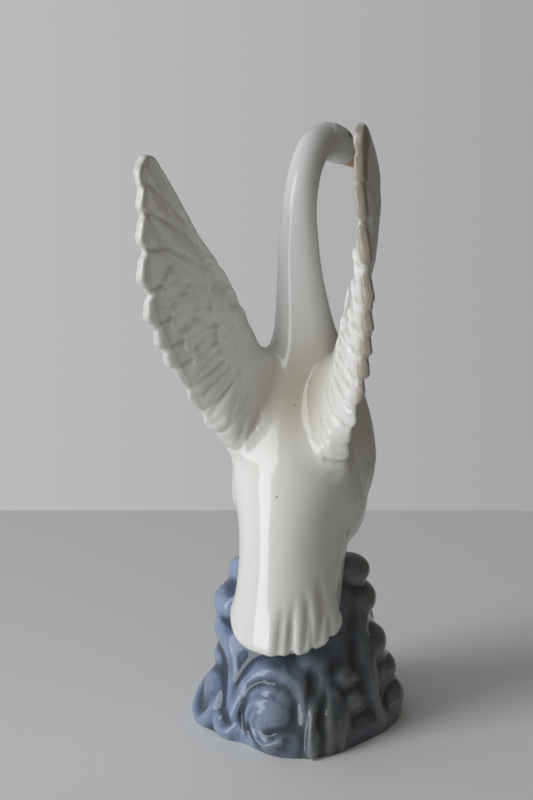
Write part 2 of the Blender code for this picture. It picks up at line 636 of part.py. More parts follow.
def fuse(thing, grain, rounds):
    """One skin round all forms of a thing, its creases softened as glaze softens them."""
    skin = thing.modifiers.new("skin", "REMESH")
    skin.mode = "VOXEL"
    skin.voxel_size = grain
    skin.use_smooth_shade = True
    glaze = thing.modifiers.new("glaze", "SMOOTH")
    glaze.iterations = rounds
    glaze.factor = 0.5


def applied(thing):
    """The thing as a plain mesh, with its modifiers worked out."""
    graph = bpy.context.evaluated_depsgraph_get()
    mesh = bpy.data.meshes.new_from_object(thing.evaluated_get(graph))
    thing.modifiers.clear()
    thing.data = mesh
    return thing


def triangle_count(thing):
    graph = bpy.context.evaluated_depsgraph_get()
    mesh = thing.evaluated_get(graph).to_mesh()
    mesh.calc_loop_triangles()
    return len(mesh.loop_triangles)


def porcelain():
    material = bpy.data.materials.new("porcelain")
    material.use_nodes = True
    surface = material.node_tree.nodes["Principled BSDF"]
    surface.inputs["Base Color"].default_value = WHITE
    surface.inputs["Roughness"].default_value = GLOSS
    surface.inputs["Metallic"].default_value = 0
    return material


def collection(name, things):
    group = bpy.data.collections.new(name)
    bpy.context.scene.collection.children.link(group)
    for thing in things:
        for old in list(thing.users_collection):
            old.objects.unlink(thing)
        group.objects.link(thing)
    return group


def main():
    clear_scene()
    water = joined("water", base())
    fuse(water, WATER_GRAIN, WATER_SMOOTH_COUNT)
    bird = [*trunk(), *head(), *wing(-1, LEFT_WING), *wing(1, RIGHT_WING), *tail(), *legs()]
    figurine = joined("figurine", [applied(water), *bird])
    figurine.data.materials.append(porcelain())
    fuse(figurine, SKIN_GRAIN, GLAZE_SMOOTH_COUNT)
    fine_count = triangle_count(figurine)
    facets = figurine.modifiers.new("facets", "DECIMATE")
    facets.ratio = min(1, FACET_BUDGET / fine_count)

    cutters = [floor_cutter(), recess_cutter(), vent_cutter()]
    for cutter in cutters:
        cut = figurine.modifiers.new(cutter.name, "BOOLEAN")
        cut.operation = "DIFFERENCE"
        cut.object = cutter
        cutter.hide_render = True
        cutter.display_type = "WIRE"
    collection("porcelain_bird", [figurine])
    collection("cutters", cutters)

    graph = bpy.context.evaluated_depsgraph_get()
    corners = np.array([corner[:] for corner in figurine.evaluated_get(graph).bound_box])
    middle = (corners.min(axis=0) + corners.max(axis=0)) / 2
    for thing in (figurine, *cutters):
        thing.location.x -= middle[0]
        thing.location.y -= middle[1]


main()
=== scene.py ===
"""Looks of the porcelain bird figurine: its fine modelling, glazes, studio and camera."""

import json
import math

import bmesh
import bpy
import numpy as np
from mathutils import Matrix, Vector, kdtree

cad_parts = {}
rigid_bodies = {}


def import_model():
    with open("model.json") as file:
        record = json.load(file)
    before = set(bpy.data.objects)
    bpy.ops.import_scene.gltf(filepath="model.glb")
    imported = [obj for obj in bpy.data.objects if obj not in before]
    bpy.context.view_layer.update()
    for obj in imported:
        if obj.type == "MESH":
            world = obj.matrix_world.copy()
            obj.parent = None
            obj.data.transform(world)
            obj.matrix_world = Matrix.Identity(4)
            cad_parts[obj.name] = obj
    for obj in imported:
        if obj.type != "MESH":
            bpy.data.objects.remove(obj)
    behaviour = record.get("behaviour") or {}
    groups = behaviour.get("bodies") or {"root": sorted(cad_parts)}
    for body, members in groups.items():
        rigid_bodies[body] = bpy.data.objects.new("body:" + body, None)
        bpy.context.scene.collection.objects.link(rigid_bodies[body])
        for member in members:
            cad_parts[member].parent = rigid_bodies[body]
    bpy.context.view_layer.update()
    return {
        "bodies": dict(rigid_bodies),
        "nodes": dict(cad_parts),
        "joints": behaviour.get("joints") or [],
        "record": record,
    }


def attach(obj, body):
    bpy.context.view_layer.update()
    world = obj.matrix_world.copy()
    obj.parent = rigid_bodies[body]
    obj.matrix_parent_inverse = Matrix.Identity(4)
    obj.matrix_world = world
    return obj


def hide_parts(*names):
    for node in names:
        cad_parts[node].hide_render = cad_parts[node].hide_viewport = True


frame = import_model()

MM = 0.001


def millimetres(values):
    """A length given in millimetres, or a nested table of them, in metres."""
    if isinstance(values, (int, float)):
        return values * MM
    return tuple(millimetres(value) for value in values)


def by_bearing(points):
    """Pairs of a bearing in degrees and a length given in millimetres, with the length in metres."""
    return tuple((bearing, length * MM) for bearing, length in points)


# Camera, found from the photograph's perspective
VIEW_AZIMUTH = 18
VIEW_TILT = 13.8
CAMERA_PLACE = (0.1785, -0.5865, 0.270)
CAMERA_LENS = 80.87
CAMERA_SENSOR = 36

# Where the forms below stand in the frame, whose middle is that of the whole object's box
MODEL_SHIFT = (0.0019, -0.0004, 0)

# Studio
TABLE_HALF = 0.252
TABLE_THICK = 0.02
TABLE_COLOUR = (0.87, 0.855, 0.83)
# The wall seen by the camera: painted light, paler on the window's side and darker on the right
WALL_LEFT = (0.51, 0.505, 0.505)
WALL_RIGHT = (0.385, 0.385, 0.39)
ROOM_DARK = (0.085, 0.075, 0.056)
ROOM_PALE = (0.40, 0.42, 0.45)
ROOM_REACH = (-0.7, 0.8)
WALL_REACH = (-0.15, 0.15)
WINDOW_AZIMUTH = 63
WINDOW_RISE = 14
WINDOW_DISTANCE = 1.5
WINDOW_SIZE = (0.68, 2.6)
WINDOW_POWER = 22.5
WINDOW_COLOUR = (0.94, 0.97, 1.0)

# Fineness of the pieces
BIRD_GRAIN = 0.45 * MM
BIRD_SMOOTH_COUNT = 9
BIRD_FACETS = 195000
WATER_GRAIN = 0.6 * MM
WATER_SMOOTH_COUNT = 66
WATER_FACETS = 150000

# Lines pressed between and down the feathers, and folds pressed into the flanks and the tail
GROOVE_STEP = 0.5 * MM
GROOVE_HALF_WIDTH = 0.9 * MM
GROOVE_FAINT_SHARE = 0.3
GROOVE_START = -24 * MM
FLIGHT_GROOVE = 0.5 * MM
COVERT_GROOVE = 0.4 * MM
SOFT_GROOVE = 0.25 * MM
FLIGHT_LINE_HEADINGS = (4, 132)
FLIGHT_LINE_REACH = (52 * MM, 12 * MM)
COVERT_LINE_HEADINGS = (78, 146)
COVERT_LINE_REACH = (17 * MM, 15 * MM)
FEATHER_BEND = (0.2, 1.1)
GROOVE_SOFTEN_COUNT = 3
FLANK_FOLDS = millimetres((
    ((-7, 100), (-3.5, 91), (-2.5, 84), (-5, 76), (-8, 69)),
    ((0.5, 102), (4, 93), (4.5, 84), (1.5, 75), (-2, 69)),
    ((9, 98), (12, 90), (11, 81), (7, 73)),
))
TAIL_FOLDS = millimetres((
    ((13.2, 63), (15.3, 50), (15.2, 42), (15, 31)),
    ((10.2, 58), (11.3, 47), (11.1, 38), (11, 30)),
    ((6.6, 55), (6.1, 44), (5.9, 31)),
    ((3, 53), (2.6, 42), (2.6, 31)),
))
TAIL_FOLD_DEPTH = 0.8 * MM
TAIL_FOLD_HALF_WIDTH = 1.2 * MM
FLANK_FOLD_DEPTH = 0.7 * MM
FLANK_FOLD_HALF_WIDTH = 1.3 * MM
BLADE_HALF = 7 * MM
RIGHT_TIP_REACH = 2 * MM

# Where the wings' roots, the tail's seam and the nape melt into the body
ROOT_MELT_START = 1 * MM
ROOT_MELT_END = 13 * MM
ROOT_MELT_SPAN = (-42 * MM, -36 * MM)
ROOT_MELT_FRONT = (-14 * MM, -6 * MM)
ROOT_MELT_CHORD = 34 * MM
ROOT_MELT_FADE = 8 * MM
ROOT_MELT_DEPTH = (-6 * MM, -2 * MM)
SEAM_BOTTOM = (47 * MM, 53 * MM)
SEAM_TOP = (76 * MM, 84 * MM)
SEAM_BACK = (6 * MM, 12 * MM)
NAPE_REACH = (6 * MM, 9 * MM)
NAPE_SHARE = 0.6
MELT_COUNT = 170

# Wings' rims: a thin warm line of painted shade inside them, and a band of painted shade along them
RIM_LINE_INSET = 3.2 * MM
RIM_LINE_HALF_WIDTH = 0.7 * MM
RIM_BAND_START = 1.6 * MM
RIM_BAND_END = 3 * MM

# Paint on the head and the legs, and the warm painted shade between the wings' roots
HEAD_LEVEL = 187 * MM
LEG_PAINT_TOP = 69 * MM
RIGHT_EYE = (8.2 * MM, 33.5 * MM, 209.5 * MM)
EYE_HALF_SIZES = (1.6 * MM, 0.9 * MM, 1.2 * MM)
SADDLE = (2 * MM, -9 * MM, 124 * MM)
SADDLE_REACH = (14 * MM, 15 * MM, 20 * MM)
SADDLE_SHADE_STRENGTH = 0.9

# Swirls round the dome of the wave at the back, as radius and bearings, and the folds that fall beside it
SWIRL_CENTRE = (-1.5 * MM, 10 * MM)
SWIRLS = (
    (4.5 * MM, 120, 330),
    (7.5 * MM, 60, 320),
    (10.5 * MM, 20, 250),
)
SWIRL_DEPTH = 0.55 * MM
SWIRL_HALF_WIDTH = 1.1 * MM
WATER_FOLDS = millimetres((
    ((11, 30), (12.5, 20), (13, 10), (12.5, 3)),
    ((16, 29), (17.5, 19), (17, 10), (17.5, 3)),
    ((22, 36), (24, 27), (24.5, 20)),
))
WATER_FOLD_DEPTH = 1 * MM
WATER_FOLD_HALF_WIDTH = 1.5 * MM

# How broad the foot of each crest of water spreads, beside its own thickness and stand
CREST_FORMS = ((1, 0.92), (1.7, 0.58), (2.6, 0.22))

# Trunk from rump to crown: points of its axis on the mid-plane (y, z) with half width and half depth there
TRUNK = millimetres((
    (-7, 34, 14, 15),
    (-8, 44, 17.0, 18),
    (-8.3, 54, 17.8, 19.5),
    (-7.0, 65, 18.6, 21.5),
    (-3.8, 76, 20.4, 23),
    (0.8, 87, 24.4, 25),
    (4.5, 98, 26.4, 25),
    (7.5, 110, 25.4, 22.8),
    (9.0, 121, 21, 19.3),
    (8.6, 131, 15.5, 15.5),
    (6.6, 140.5, 11.6, 11.8),
    (3.6, 151, 9.5, 9.6),
    (0.3, 163, 7.9, 8.1),
    (-1.5, 175, 6.9, 7.0),
    (-0.8, 187, 6.0, 6.0),
    (4.1, 197.4, 5.7, 5.7),
    (12.8, 204.4, 5.8, 5.8),
    (22.5, 207.0, 6.2, 6.2),
    (31, 206.6, 6.2, 6.2),
))
HEAD_FROM_NECK = (2.2 * MM, 1 * MM, -0.2 * MM)
HEAD_TURN = 25
HEAD_BOW = 24
HEAD_LENGTH = 23 * MM
HEAD_WIDTH = 13 * MM
HEAD_HEIGHT = 14 * MM
BEAK_LENGTH = 15 * MM
BEAK_WIDTH = 7.5 * MM
BEAK_DEPTH = 6.5 * MM
EYE_SIZE = 1.7 * MM

# Wings: shoulder joint, directions of the blade, and its leading edge in shares of its length and chord
SHOULDER = (12 * MM, 6 * MM, 135 * MM)
LEFT_WING = {"raise": 50, "sweep": 24, "lean": 1.8, "curl": 0, "lobe": (-6 * MM, 19 * MM, -1.4 * MM)}
RIGHT_WING = {"raise": 61, "sweep": 23, "lean": 1.2, "curl": 3.4 * MM, "lobe": (-13 * MM, 18 * MM, 0)}
WINGS = ((-1, LEFT_WING), (1, RIGHT_WING))
WING_SET_BACK = 2.0 * MM
WING_ROOT_CAMBER = 7 * MM
WING_TIP_CAMBER = 4 * MM
WING_BOW = 5 * MM
WING_TWIST = 5
WING_CURL_START = 0.68
WING_CHORD = 40 * MM
WING_LENGTH = 95 * MM
WING_LEADING = (
    (-0.316, 0.225), (-0.168, 0.075), (0, 0.075), (0.084, 0.053), (0.253, 0), (0.442, -0.053),
    (0.632, -0.098), (0.8, -0.13), (0.905, -0.115),
)
WING_THICK = 6.4 * MM
WING_EDGE = 2.4 * MM

# Feathers: where each ends, in the same shares, from the wing's tip to its root, and how their headings turn
FEATHER_FULLNESS = 0.5
FEATHER_TILT = 0.25 * MM
FEATHER_GROWTH = 0.9 * MM
FLIGHT_ENDS = (
    (0.995, 0.02), (0.921, 0.235), (0.84, 0.435), (0.728, 0.637), (0.584, 0.785), (0.463, 0.85),
    (0.363, 0.89), (0.267, 0.92), (0.16, 0.97), (0.037, 0.99), (-0.055, 0.965), (-0.137, 0.96),
    (-0.226, 0.935), (-0.295, 0.85),
)
FLIGHT_OVERLAP = 0.58
FLIGHT_HEADINGS = (4, 116)
FLIGHT_LENGTHS = (50 * MM, 24 * MM)
FLIGHT_ROOT_THICK = 5.2 * MM
FLIGHT_TIP_THICK = 4.2 * MM
PLATE_INSET = 7.5 * MM
COVERT_THICK = 2.4 * MM
COVERT_OVERLAP = 0.68
GREATER_COVERT_ENDS = (
    (0.618, 0.55), (0.495, 0.657), (0.379, 0.695), (0.284, 0.75), (0.2, 0.8), (0.111, 0.9), (0.042, 0.91),
    (-0.037, 0.925), (-0.107, 0.91), (-0.174, 0.9), (-0.232, 0.875),
)
GREATER_COVERT_HEADINGS = (34, 112)
GREATER_COVERT_LENGTHS = (26 * MM, 23 * MM)
GREATER_COVERT_RISE = 3.2 * MM
LESSER_COVERT_ENDS = (
    (0.442, 0.087), (0.368, 0.275), (0.284, 0.438), (0.2, 0.55), (0.118, 0.625), (0.042, 0.685),
    (-0.046, 0.725), (-0.129, 0.735),
)
LESSER_COVERT_HEADINGS = (20, 108)
LESSER_COVERT_LENGTHS = (20 * MM, 18 * MM)
LESSER_COVERT_RISE = 3.6 * MM
MARGIN_COVERT_ENDS = (
    (0.474, -0.01), (0.395, 0.015), (0.316, 0.045), (0.237, 0.085), (0.158, 0.135),
)
MARGIN_COVERT_HEADINGS = (2, 20)
MARGIN_COVERT_LENGTHS = (11 * MM, 11 * MM)
MARGIN_COVERT_RISE = 3.4 * MM
SHOULDER_LOBE_SIZE = (18 * MM, 19 * MM, 6 * MM)
SHOULDER_LOBE_FULLNESS = 0.8

# Tail: one rounded fan round the back of the rump, ribbed towards its end on the right
TAIL_MIDDLE = -8 * MM
TAIL_HALF_WIDTH = 17.6 * MM
TAIL_HALF_DEPTH = 19.6 * MM
TAIL_SINK = 3.4 * MM
TAIL_FLARE = 2.4 * MM
TAIL_TOP = 72 * MM
TAIL_END = 35 * MM
TAIL_SIDE_RISE = 9 * MM
TAIL_SWEEP = 78
TAIL_THICK = 4.4 * MM
TAIL_RIDGE = 1 * MM
TAIL_RIB_COUNT = 4
TAIL_RIB_DEPTH = 1.5 * MM
TAIL_RIB_START = 0.45

# Thighs and legs
THIGH_CENTRE = (15.4 * MM, 1 * MM, 88.5 * MM)
THIGH_SIZE = (9.2 * MM, 14 * MM, 21 * MM)
LEG_RADIUS = 2.4 * MM
LEFT_LEG = (-17.8 * MM, -1 * MM)
RIGHT_LEG = (13.5 * MM, 3 * MM)

# Base: outlines round its middle as (bearing, reach), from the foot up to where the mound closes
BASE_MIDDLE = (0, 4 * MM)
FOOT_OUTLINE = by_bearing((
    (-180, 37.5), (-162, 38.5), (-148, 37.5), (-132, 36.5), (-116, 36), (-104, 35), (-90, 39.5), (-78, 41),
    (-60, 39.5), (-42, 36), (-25, 34.5), (2, 36), (28, 38.5), (48, 38.5), (72, 36), (92, 38), (112, 36),
    (135, 37), (158, 35.5),
))
LOWER_OUTLINE = by_bearing((
    (-162, 31), (-130, 28.5), (-91, 29), (-60, 30), (-30, 29), (18, 33), (50, 31), (90, 32), (135, 31.5),
))
MIDDLE_OUTLINE = by_bearing((
    (-162, 29.5), (-125, 25), (-90, 22.5), (-60, 23), (-25, 23.5), (18, 25), (60, 27), (100, 28), (140, 28),
))
UPPER_OUTLINE = by_bearing((
    (-162, 28), (-125, 21), (-90, 17), (-50, 18), (-15, 21), (18, 23.5), (90, 25), (140, 26),
))
TOP_OUTLINE = by_bearing(((-162, 20.5), (-90, 10), (18, 15), (90, 17)))
MOUND_LEVELS = (
    (-3 * MM, FOOT_OUTLINE, 0.98), (4 * MM, FOOT_OUTLINE, 0.99), (11 * MM, FOOT_OUTLINE, 0.9),
    (20 * MM, LOWER_OUTLINE, 1), (36 * MM, MIDDLE_OUTLINE, 1), (49 * MM, UPPER_OUTLINE, 1),
    (58 * MM, TOP_OUTLINE, 1),
)
FOOT_RIM = 7 * MM
FOOT_RECESS = 1.8 * MM
VENT_RADIUS = 4 * MM
VENT_DEPTH = 14 * MM

# Rounded swells of water: bearing, height and how proud each stands, and half sizes along, out and up
SWELLS = tuple((bearing, *millimetres(lengths)) for bearing, *lengths in (
    (-92, 12, 4.5, (11, 9, 11.5)),
    (-150, 10, 2, (10, 8, 10)),
    (-65, 27, 1.6, (8, 8, 8)),
    (-38, 23, 2.6, (7.5, 7, 4.4)),
    (-37, 14.5, 2.4, (7, 7, 4.4)),
    (12, 29, 3.4, (14, 8, 6)),
    (22, 18, 1.8, (12, 9, 6)),
    (16, 8, 3, (13, 9, 7.5)),
    (19, 55.5, 7.4, (10, 9, 6)),
    (20, 45, 3.2, (13, 8, 6)),
    (-163, 55.5, 4, (10, 8, 5.5)),
    (-164, 43.5, 3, (12, 8, 6.5)),
    (-166, 33, 2.4, (12, 8, 6)),
    (-166, 23, 1.6, (12, 8, 6)),
    (90, 15, 3, (12, 9, 12)),
    (60, 41, 3, (9, 8, 9)),
    (122, 41, 3, (9, 8, 9)),
    (45, 14, 3, (10, 9, 11)),
    (137, 12, 3, (11, 9, 11)),
))

# Crests: ridges of water, with the thickness of each, how proud it stands, and its path as (bearing, height)
CRESTS = tuple((*millimetres(lengths), by_bearing(path)) for *lengths, path in (
    # The big wave at the back rises, rolls over its swell and falls, with fainter rolls inside it
    (3.3, 5.2, (
        (-117, 8), (-115.5, 15), (-111, 21.5), (-101, 25.3), (-88, 25.3),
        (-76, 22.3), (-70, 17), (-67.5, 9), (-67.5, 0),
    )),
    (1.9, 4.4, ((-104, 19), (-104.5, 13), (-99, 7), (-90, 4.5), (-81, 7))),
    (1.7, 2.6, ((-112, 9), (-107, 4), (-98, 1))),
    # The broad ridge that sweeps down on the left of it, and the small crescent at its foot
    (5.4, 3.6, ((-163, 42), (-152, 35), (-139, 30.5), (-131, 26), (-127, 20), (-124, 14), (-122, 8))),
    (2.6, 3.2, ((-131, 8), (-127, 3.5), (-119, 3), (-113, 6.5))),
    # Falling folds on its right
    (2.4, 2.8, ((-56, 31), (-56, 23), (-57, 16), (-57, 9), (-58, 0))),
    (2.2, 2.4, ((-50, 21), (-49, 14), (-50, 8), (-51, 0))),
    (3.6, 3, ((5, 54), (-4, 43), (-12, 34), (-16, 25), (-16, 14), (-13, 2))),
    # A rolled lobe at the left, closed round its dimple
    (2.8, 3, (
        (-147, 18.5), (-158, 16), (-164, 9.5), (-158, 3), (-147, 1), (-138, 5), (-137, 13), (-147, 18.5),
    )),
    # The front: a second rolling wave between two folds
    (4, 4, ((74, 2), (68, 15), (76, 27), (91, 32), (105, 27), (107, 18), (97, 13))),
    (4, 3.4, ((38, 52), (44, 37), (48, 22), (50, 4))),
    (4, 3.4, ((158, 50), (148, 37), (144, 22), (152, 4))),
))


def smooth_line(points, count):
    """Points spread evenly along a smooth curve through the given ones, end to end."""
    points = np.array(points, float)
    padded = np.vstack([2 * points[0] - points[1], points, 2 * points[-1] - points[-2]])
    fine = []
    for before, start, end, after in zip(padded, padded[1:], padded[2:], padded[3:]):
        for t in np.linspace(0, 1, 24, endpoint=False):
            bend = 2 * before - 5 * start + 4 * end - after
            turn = 3 * start - before - 3 * end + after
            fine.append(0.5 * (2 * start + (end - before) * t + bend * t**2 + turn * t**3))
    fine.append(points[-1])
    fine = np.array(fine)
    steps = np.linalg.norm(np.diff(fine, axis=0), axis=1)
    along = np.concatenate([[0], np.cumsum(steps)])
    wanted = np.linspace(0, along[-1], count)
    return np.column_stack([np.interp(wanted, along, fine[:, k]) for k in range(fine.shape[1])])


def link_object(name, data):
    thing = bpy.data.objects.new(name, data)
    bpy.context.scene.collection.objects.link(thing)
    return thing


def mesh_from_rings(name, rings):
    """A closed solid lofted through rings of equal point counts."""
    shape = bmesh.new()
    loops = [[shape.verts.new(point) for point in ring] for ring in rings]
    for lower, upper in zip(loops, loops[1:]):
        for k in range(len(lower)):
            following = (k + 1) % len(lower)
            shape.faces.new((lower[k], lower[following], upper[following], upper[k]))
    shape.faces.new(loops[0][::-1])
    shape.faces.new(loops[-1])
    bmesh.ops.recalc_face_normals(shape, faces=shape.faces)
    return finish_mesh(name, shape)


def finish_mesh(name, shape):
    mesh = bpy.data.meshes.new(name)
    shape.to_mesh(mesh)
    shape.free()
    return link_object(name, mesh)


def ellipsoid(name, centre, half_sizes, turn=None, fullness=1):
    """A ball drawn out along its axes; a fullness under 1 squares its sides."""
    shape = bmesh.new()
    bmesh.ops.create_uvsphere(shape, u_segments=28, v_segments=18, radius=1)
    for corner in shape.verts:
        corner.co = [math.copysign(abs(value) ** fullness, value) for value in corner.co]
    bmesh.ops.scale(shape, vec=Vector(half_sizes), verts=shape.verts)
    if turn:
        bmesh.ops.rotate(shape, matrix=turn, verts=shape.verts)
    bmesh.ops.translate(shape, vec=Vector(centre), verts=shape.verts)
    return finish_mesh(name, shape)


def tapered_tube(name, points, radii):
    """A round bar along a path, with its own radius at each point."""
    curve = bpy.data.curves.new(name, "CURVE")
    curve.dimensions = "3D"
    curve.bevel_depth = 1
    curve.bevel_resolution = 4
    curve.use_fill_caps = True
    spline = curve.splines.new("POLY")
    spline.points.add(len(points) - 1)
    for place, point, radius in zip(spline.points, points, radii):
        place.co = (*point, 1)
        place.radius = radius
    bar = link_object(name + "_path", curve)
    graph = bpy.context.evaluated_depsgraph_get()
    mesh = bpy.data.meshes.new_from_object(bar.evaluated_get(graph))
    bpy.data.objects.remove(bar, do_unlink=True)
    shape = bmesh.new()
    shape.from_mesh(mesh)
    bpy.data.meshes.remove(mesh)
    bmesh.ops.remove_doubles(shape, verts=shape.verts, dist=0.00001)
    bmesh.ops.recalc_face_normals(shape, faces=shape.faces)
    return finish_mesh(name, shape)


def trunk():
    """Body and neck in one sweep, each section square to the axis."""
    line = smooth_line(TRUNK, 110)
    headings = np.gradient(line[:, :2], axis=0)
    headings /= np.linalg.norm(headings, axis=1)[:, None]
    rings = []
    for (y, z, half_width, half_depth), (forward, upward) in zip(line, headings):
        rings.append(
            [
                (
                    half_width * math.cos(turn),
                    y + half_depth * math.sin(turn) * upward,
                    z - half_depth * math.sin(turn) * forward,
                )
                for turn in np.linspace(0, 2 * math.pi, 120, endpoint=False)
            ]
        )
    return [mesh_from_rings("trunk", rings)]


def head_frame():
    neck_end = Vector((0, TRUNK[-1][0], TRUNK[-1][1]))
    return (
        Matrix.Translation(neck_end + Vector(HEAD_FROM_NECK))
        @ Matrix.Rotation(math.radians(-HEAD_TURN), 4, "Z")
        @ Matrix.Rotation(math.radians(-HEAD_BOW), 4, "X")
    )


def head():
    """Skull, cheeks, beak and the slight mound of each eye, in a frame that looks along +Y."""
    frame = head_frame()
    turn = frame.to_3x3()
    skull = ellipsoid("skull", frame.translation, (HEAD_WIDTH / 2, HEAD_LENGTH / 2, HEAD_HEIGHT / 2), turn)
    rings = []
    start = HEAD_LENGTH * 0.22
    for share in np.linspace(0, 1, 14):
        along = start + share * (HEAD_LENGTH / 2 - start + BEAK_LENGTH)
        closing = math.sqrt(max(1 - max((share - 0.86) / 0.14, 0) ** 2, 0.01))
        width = (HEAD_WIDTH * 0.84 * (1 - share) ** 2 + BEAK_WIDTH * (1 - (1 - share) ** 2)) / 2 * closing
        depth = HEAD_HEIGHT * 0.84 * (1 - share) ** 2
        depth += BEAK_DEPTH * (1 - 0.45 * share) * (1 - (1 - share) ** 2)
        depth *= closing / 2
        drop = -0.10 * HEAD_HEIGHT * share
        rings.append(
            [
                frame @ Vector((width * math.cos(a), along, drop + depth * math.sin(a)))
                for a in np.linspace(0, 2 * math.pi, 24, endpoint=False)
            ]
        )
    beak = mesh_from_rings("beak", rings)
    eyes = []
    for side in (-1, 1):
        place = frame @ Vector((side * HEAD_WIDTH * 0.43, HEAD_LENGTH * 0.24, HEAD_HEIGHT * 0.14))
        eyes.append(ellipsoid("eye", place, (EYE_SIZE * 0.6, EYE_SIZE, EYE_SIZE * 0.8), turn))
    return [skull, beak, *eyes]


class Wing:
    """The frame of one raised wing, with places along its span, across its chord and out of its back."""

    def __init__(self, side, pose):
        sweep = math.radians(pose["sweep"])
        lean = math.radians(pose["lean"])
        raise_angle = math.radians(pose["raise"])
        level_in = Vector((-math.cos(sweep), -math.sin(sweep), 0))
        inward = level_in * math.cos(lean) + Vector((0, 0, -math.sin(lean)))
        level = Vector((math.sin(sweep), -math.cos(sweep), 0))
        upward = level.cross(inward)
        if upward.z < 0:
            upward.negate()
        span = level * math.cos(raise_angle) + upward * math.sin(raise_angle)
        chord = level * math.sin(raise_angle) - upward * math.cos(raise_angle)
        self.side = side
        self.curl = pose["curl"]
        self.origin = self.mirrored(Vector(SHOULDER))
        self.span = self.mirrored(span)
        self.chord = self.mirrored(chord)
        self.out = self.mirrored(inward)

    def mirrored(self, vector):
        return Vector((vector.x * self.side, vector.y, vector.z))

    def at(self, p, q, r=0.0):
        """A place on the wing, whose blade is hollow across, bowed along, twisted and curled to its tip."""
        share = min(max(p / WING_LENGTH, 0), 1)
        camber = WING_ROOT_CAMBER + (WING_TIP_CAMBER - WING_ROOT_CAMBER) * share
        hollow = camber * max(1 - (2 * q / WING_CHORD - 1) ** 2, 0)
        bow = WING_BOW * max(1 - (2 * p / WING_LENGTH - 1) ** 2, 0)
        bow -= self.curl * (max(share - WING_CURL_START, 0) / (1 - WING_CURL_START)) ** 2
        twist = math.radians(WING_TWIST) * share
        across = (q - WING_CHORD) * math.cos(twist) - (r + hollow) * math.sin(twist)
        outward = (q - WING_CHORD) * math.sin(twist) + (r + hollow) * math.cos(twist)
        middle = self.origin + self.span * p + self.chord * (WING_CHORD + across)
        return middle + self.out * (outward - bow - WING_SET_BACK)


def on_blade(shares):
    return np.array(shares) * (WING_LENGTH, WING_CHORD)


def plate(wing):
    """The solid blade of the wing, thick behind its leading edge and thinner where the flights leave it."""
    leading = smooth_line(on_blade(WING_LEADING), 120)
    trailing = smooth_line(on_blade(FLIGHT_ENDS[::-1]), 120)
    rings = []
    for p in np.linspace(leading[0, 0], leading[-1, 0], 40):
        front = np.interp(p, leading[:, 0], leading[:, 1])
        back = np.interp(p, trailing[:, 0], trailing[:, 1]) - PLATE_INSET
        chord = max(back - front, 0.1 * WING_CHORD)
        thick = WING_THICK * (0.6 + 0.4 * min(chord / WING_CHORD, 1))
        shares = 0.5 - 0.5 * np.cos(np.linspace(0, math.pi, 12))
        upper = []
        lower = []
        for share in shares:
            nose = math.sqrt(max(1 - (1 - min(share / 0.18, 1)) ** 2, 0))
            half = 0.5 * (thick + (WING_EDGE - thick) * min(max((share - 0.18) / 0.7, 0), 1)) * nose
            half *= math.sqrt(max(1 - max((share - 0.93) / 0.07, 0) ** 2, 0.0))
            upper.append(wing.at(p, front + share * chord, half))
            lower.append(wing.at(p, front + share * chord, -half))
        rings.append(upper + lower[-2:0:-1])
    return mesh_from_rings("wing_plate", rings)


def feather(wing, end, heading, length, half_width, thick, lift, point):
    """One feather: a crowned blade on a bent axis in the wing's surface, its end round or pointed."""
    fine = np.linspace(1, 0, 61)
    turns = np.radians(heading * (0.25 + 0.75 * fine**2))
    steps = np.column_stack([np.cos(turns), np.sin(turns)]) * length / (len(fine) - 1)
    grown_end = np.array(end) + steps[0] / np.linalg.norm(steps[0]) * FEATHER_GROWTH
    axis = (grown_end - np.cumsum(steps, axis=0))[::-1]
    turns = turns[::-1]
    bend = 1 - min((1 + 1.6 * point) * half_width / length, 0.9)
    close = 1 - 0.55 * thick[1] / length
    rings = []
    for share in (0, 0.15, 0.3, 0.45, 0.56, 0.66, 0.74, 0.8, 0.85, 0.9, 0.94, 0.97, 0.985, 0.995):
        index = int(share * (len(fine) - 1))
        across = np.array([-math.sin(turns[index]), math.cos(turns[index])])
        narrowing = max(share - bend, 0) / (1 - bend)
        width = half_width * (0.5 + 0.5 * math.sin(min(share / 0.75, 1) * math.pi / 2))
        width *= (1 - narrowing**2) ** (0.5 + 0.35 * point)
        half = 0.5 * (thick[0] + (thick[1] - thick[0]) * share)
        half *= math.sqrt(1 - (max(share - close, 0) / (1 - close)) ** 2)
        ring = []
        for turn in np.linspace(0, 2 * math.pi, 16, endpoint=False):
            side = math.copysign(abs(math.cos(turn)) ** FEATHER_FULLNESS, math.cos(turn))
            crown = math.copysign(abs(math.sin(turn)) ** FEATHER_FULLNESS, math.sin(turn))
            p, q = axis[index] + across * width * side
            ring.append(wing.at(p, q, lift * share + half * crown - FEATHER_TILT * side))
        rings.append(ring)
    return mesh_from_rings("feather", rings)


def feather_row(wing, ends, headings, lengths, overlap, thick, lift, pointed_from):
    """Feathers side by side, as wide as their ends lie apart, each from some place on drawn to a point."""
    ends = on_blade(ends)
    last = len(ends) - 1
    feathers = []
    for index, end in enumerate(ends):
        share = index / last
        heading = headings[0] + (headings[1] - headings[0]) * share**0.6
        gaps = [np.linalg.norm(ends[k] - end) for k in (index - 1, index + 1) if 0 <= k <= last]
        length = lengths[0] + (lengths[1] - lengths[0]) * share
        point = min(max((index - pointed_from) / 2, 0), 1)
        half_width = np.mean(gaps) * overlap
        feathers.append(feather(wing, end, heading, length, half_width, thick, lift, point))
    return feathers


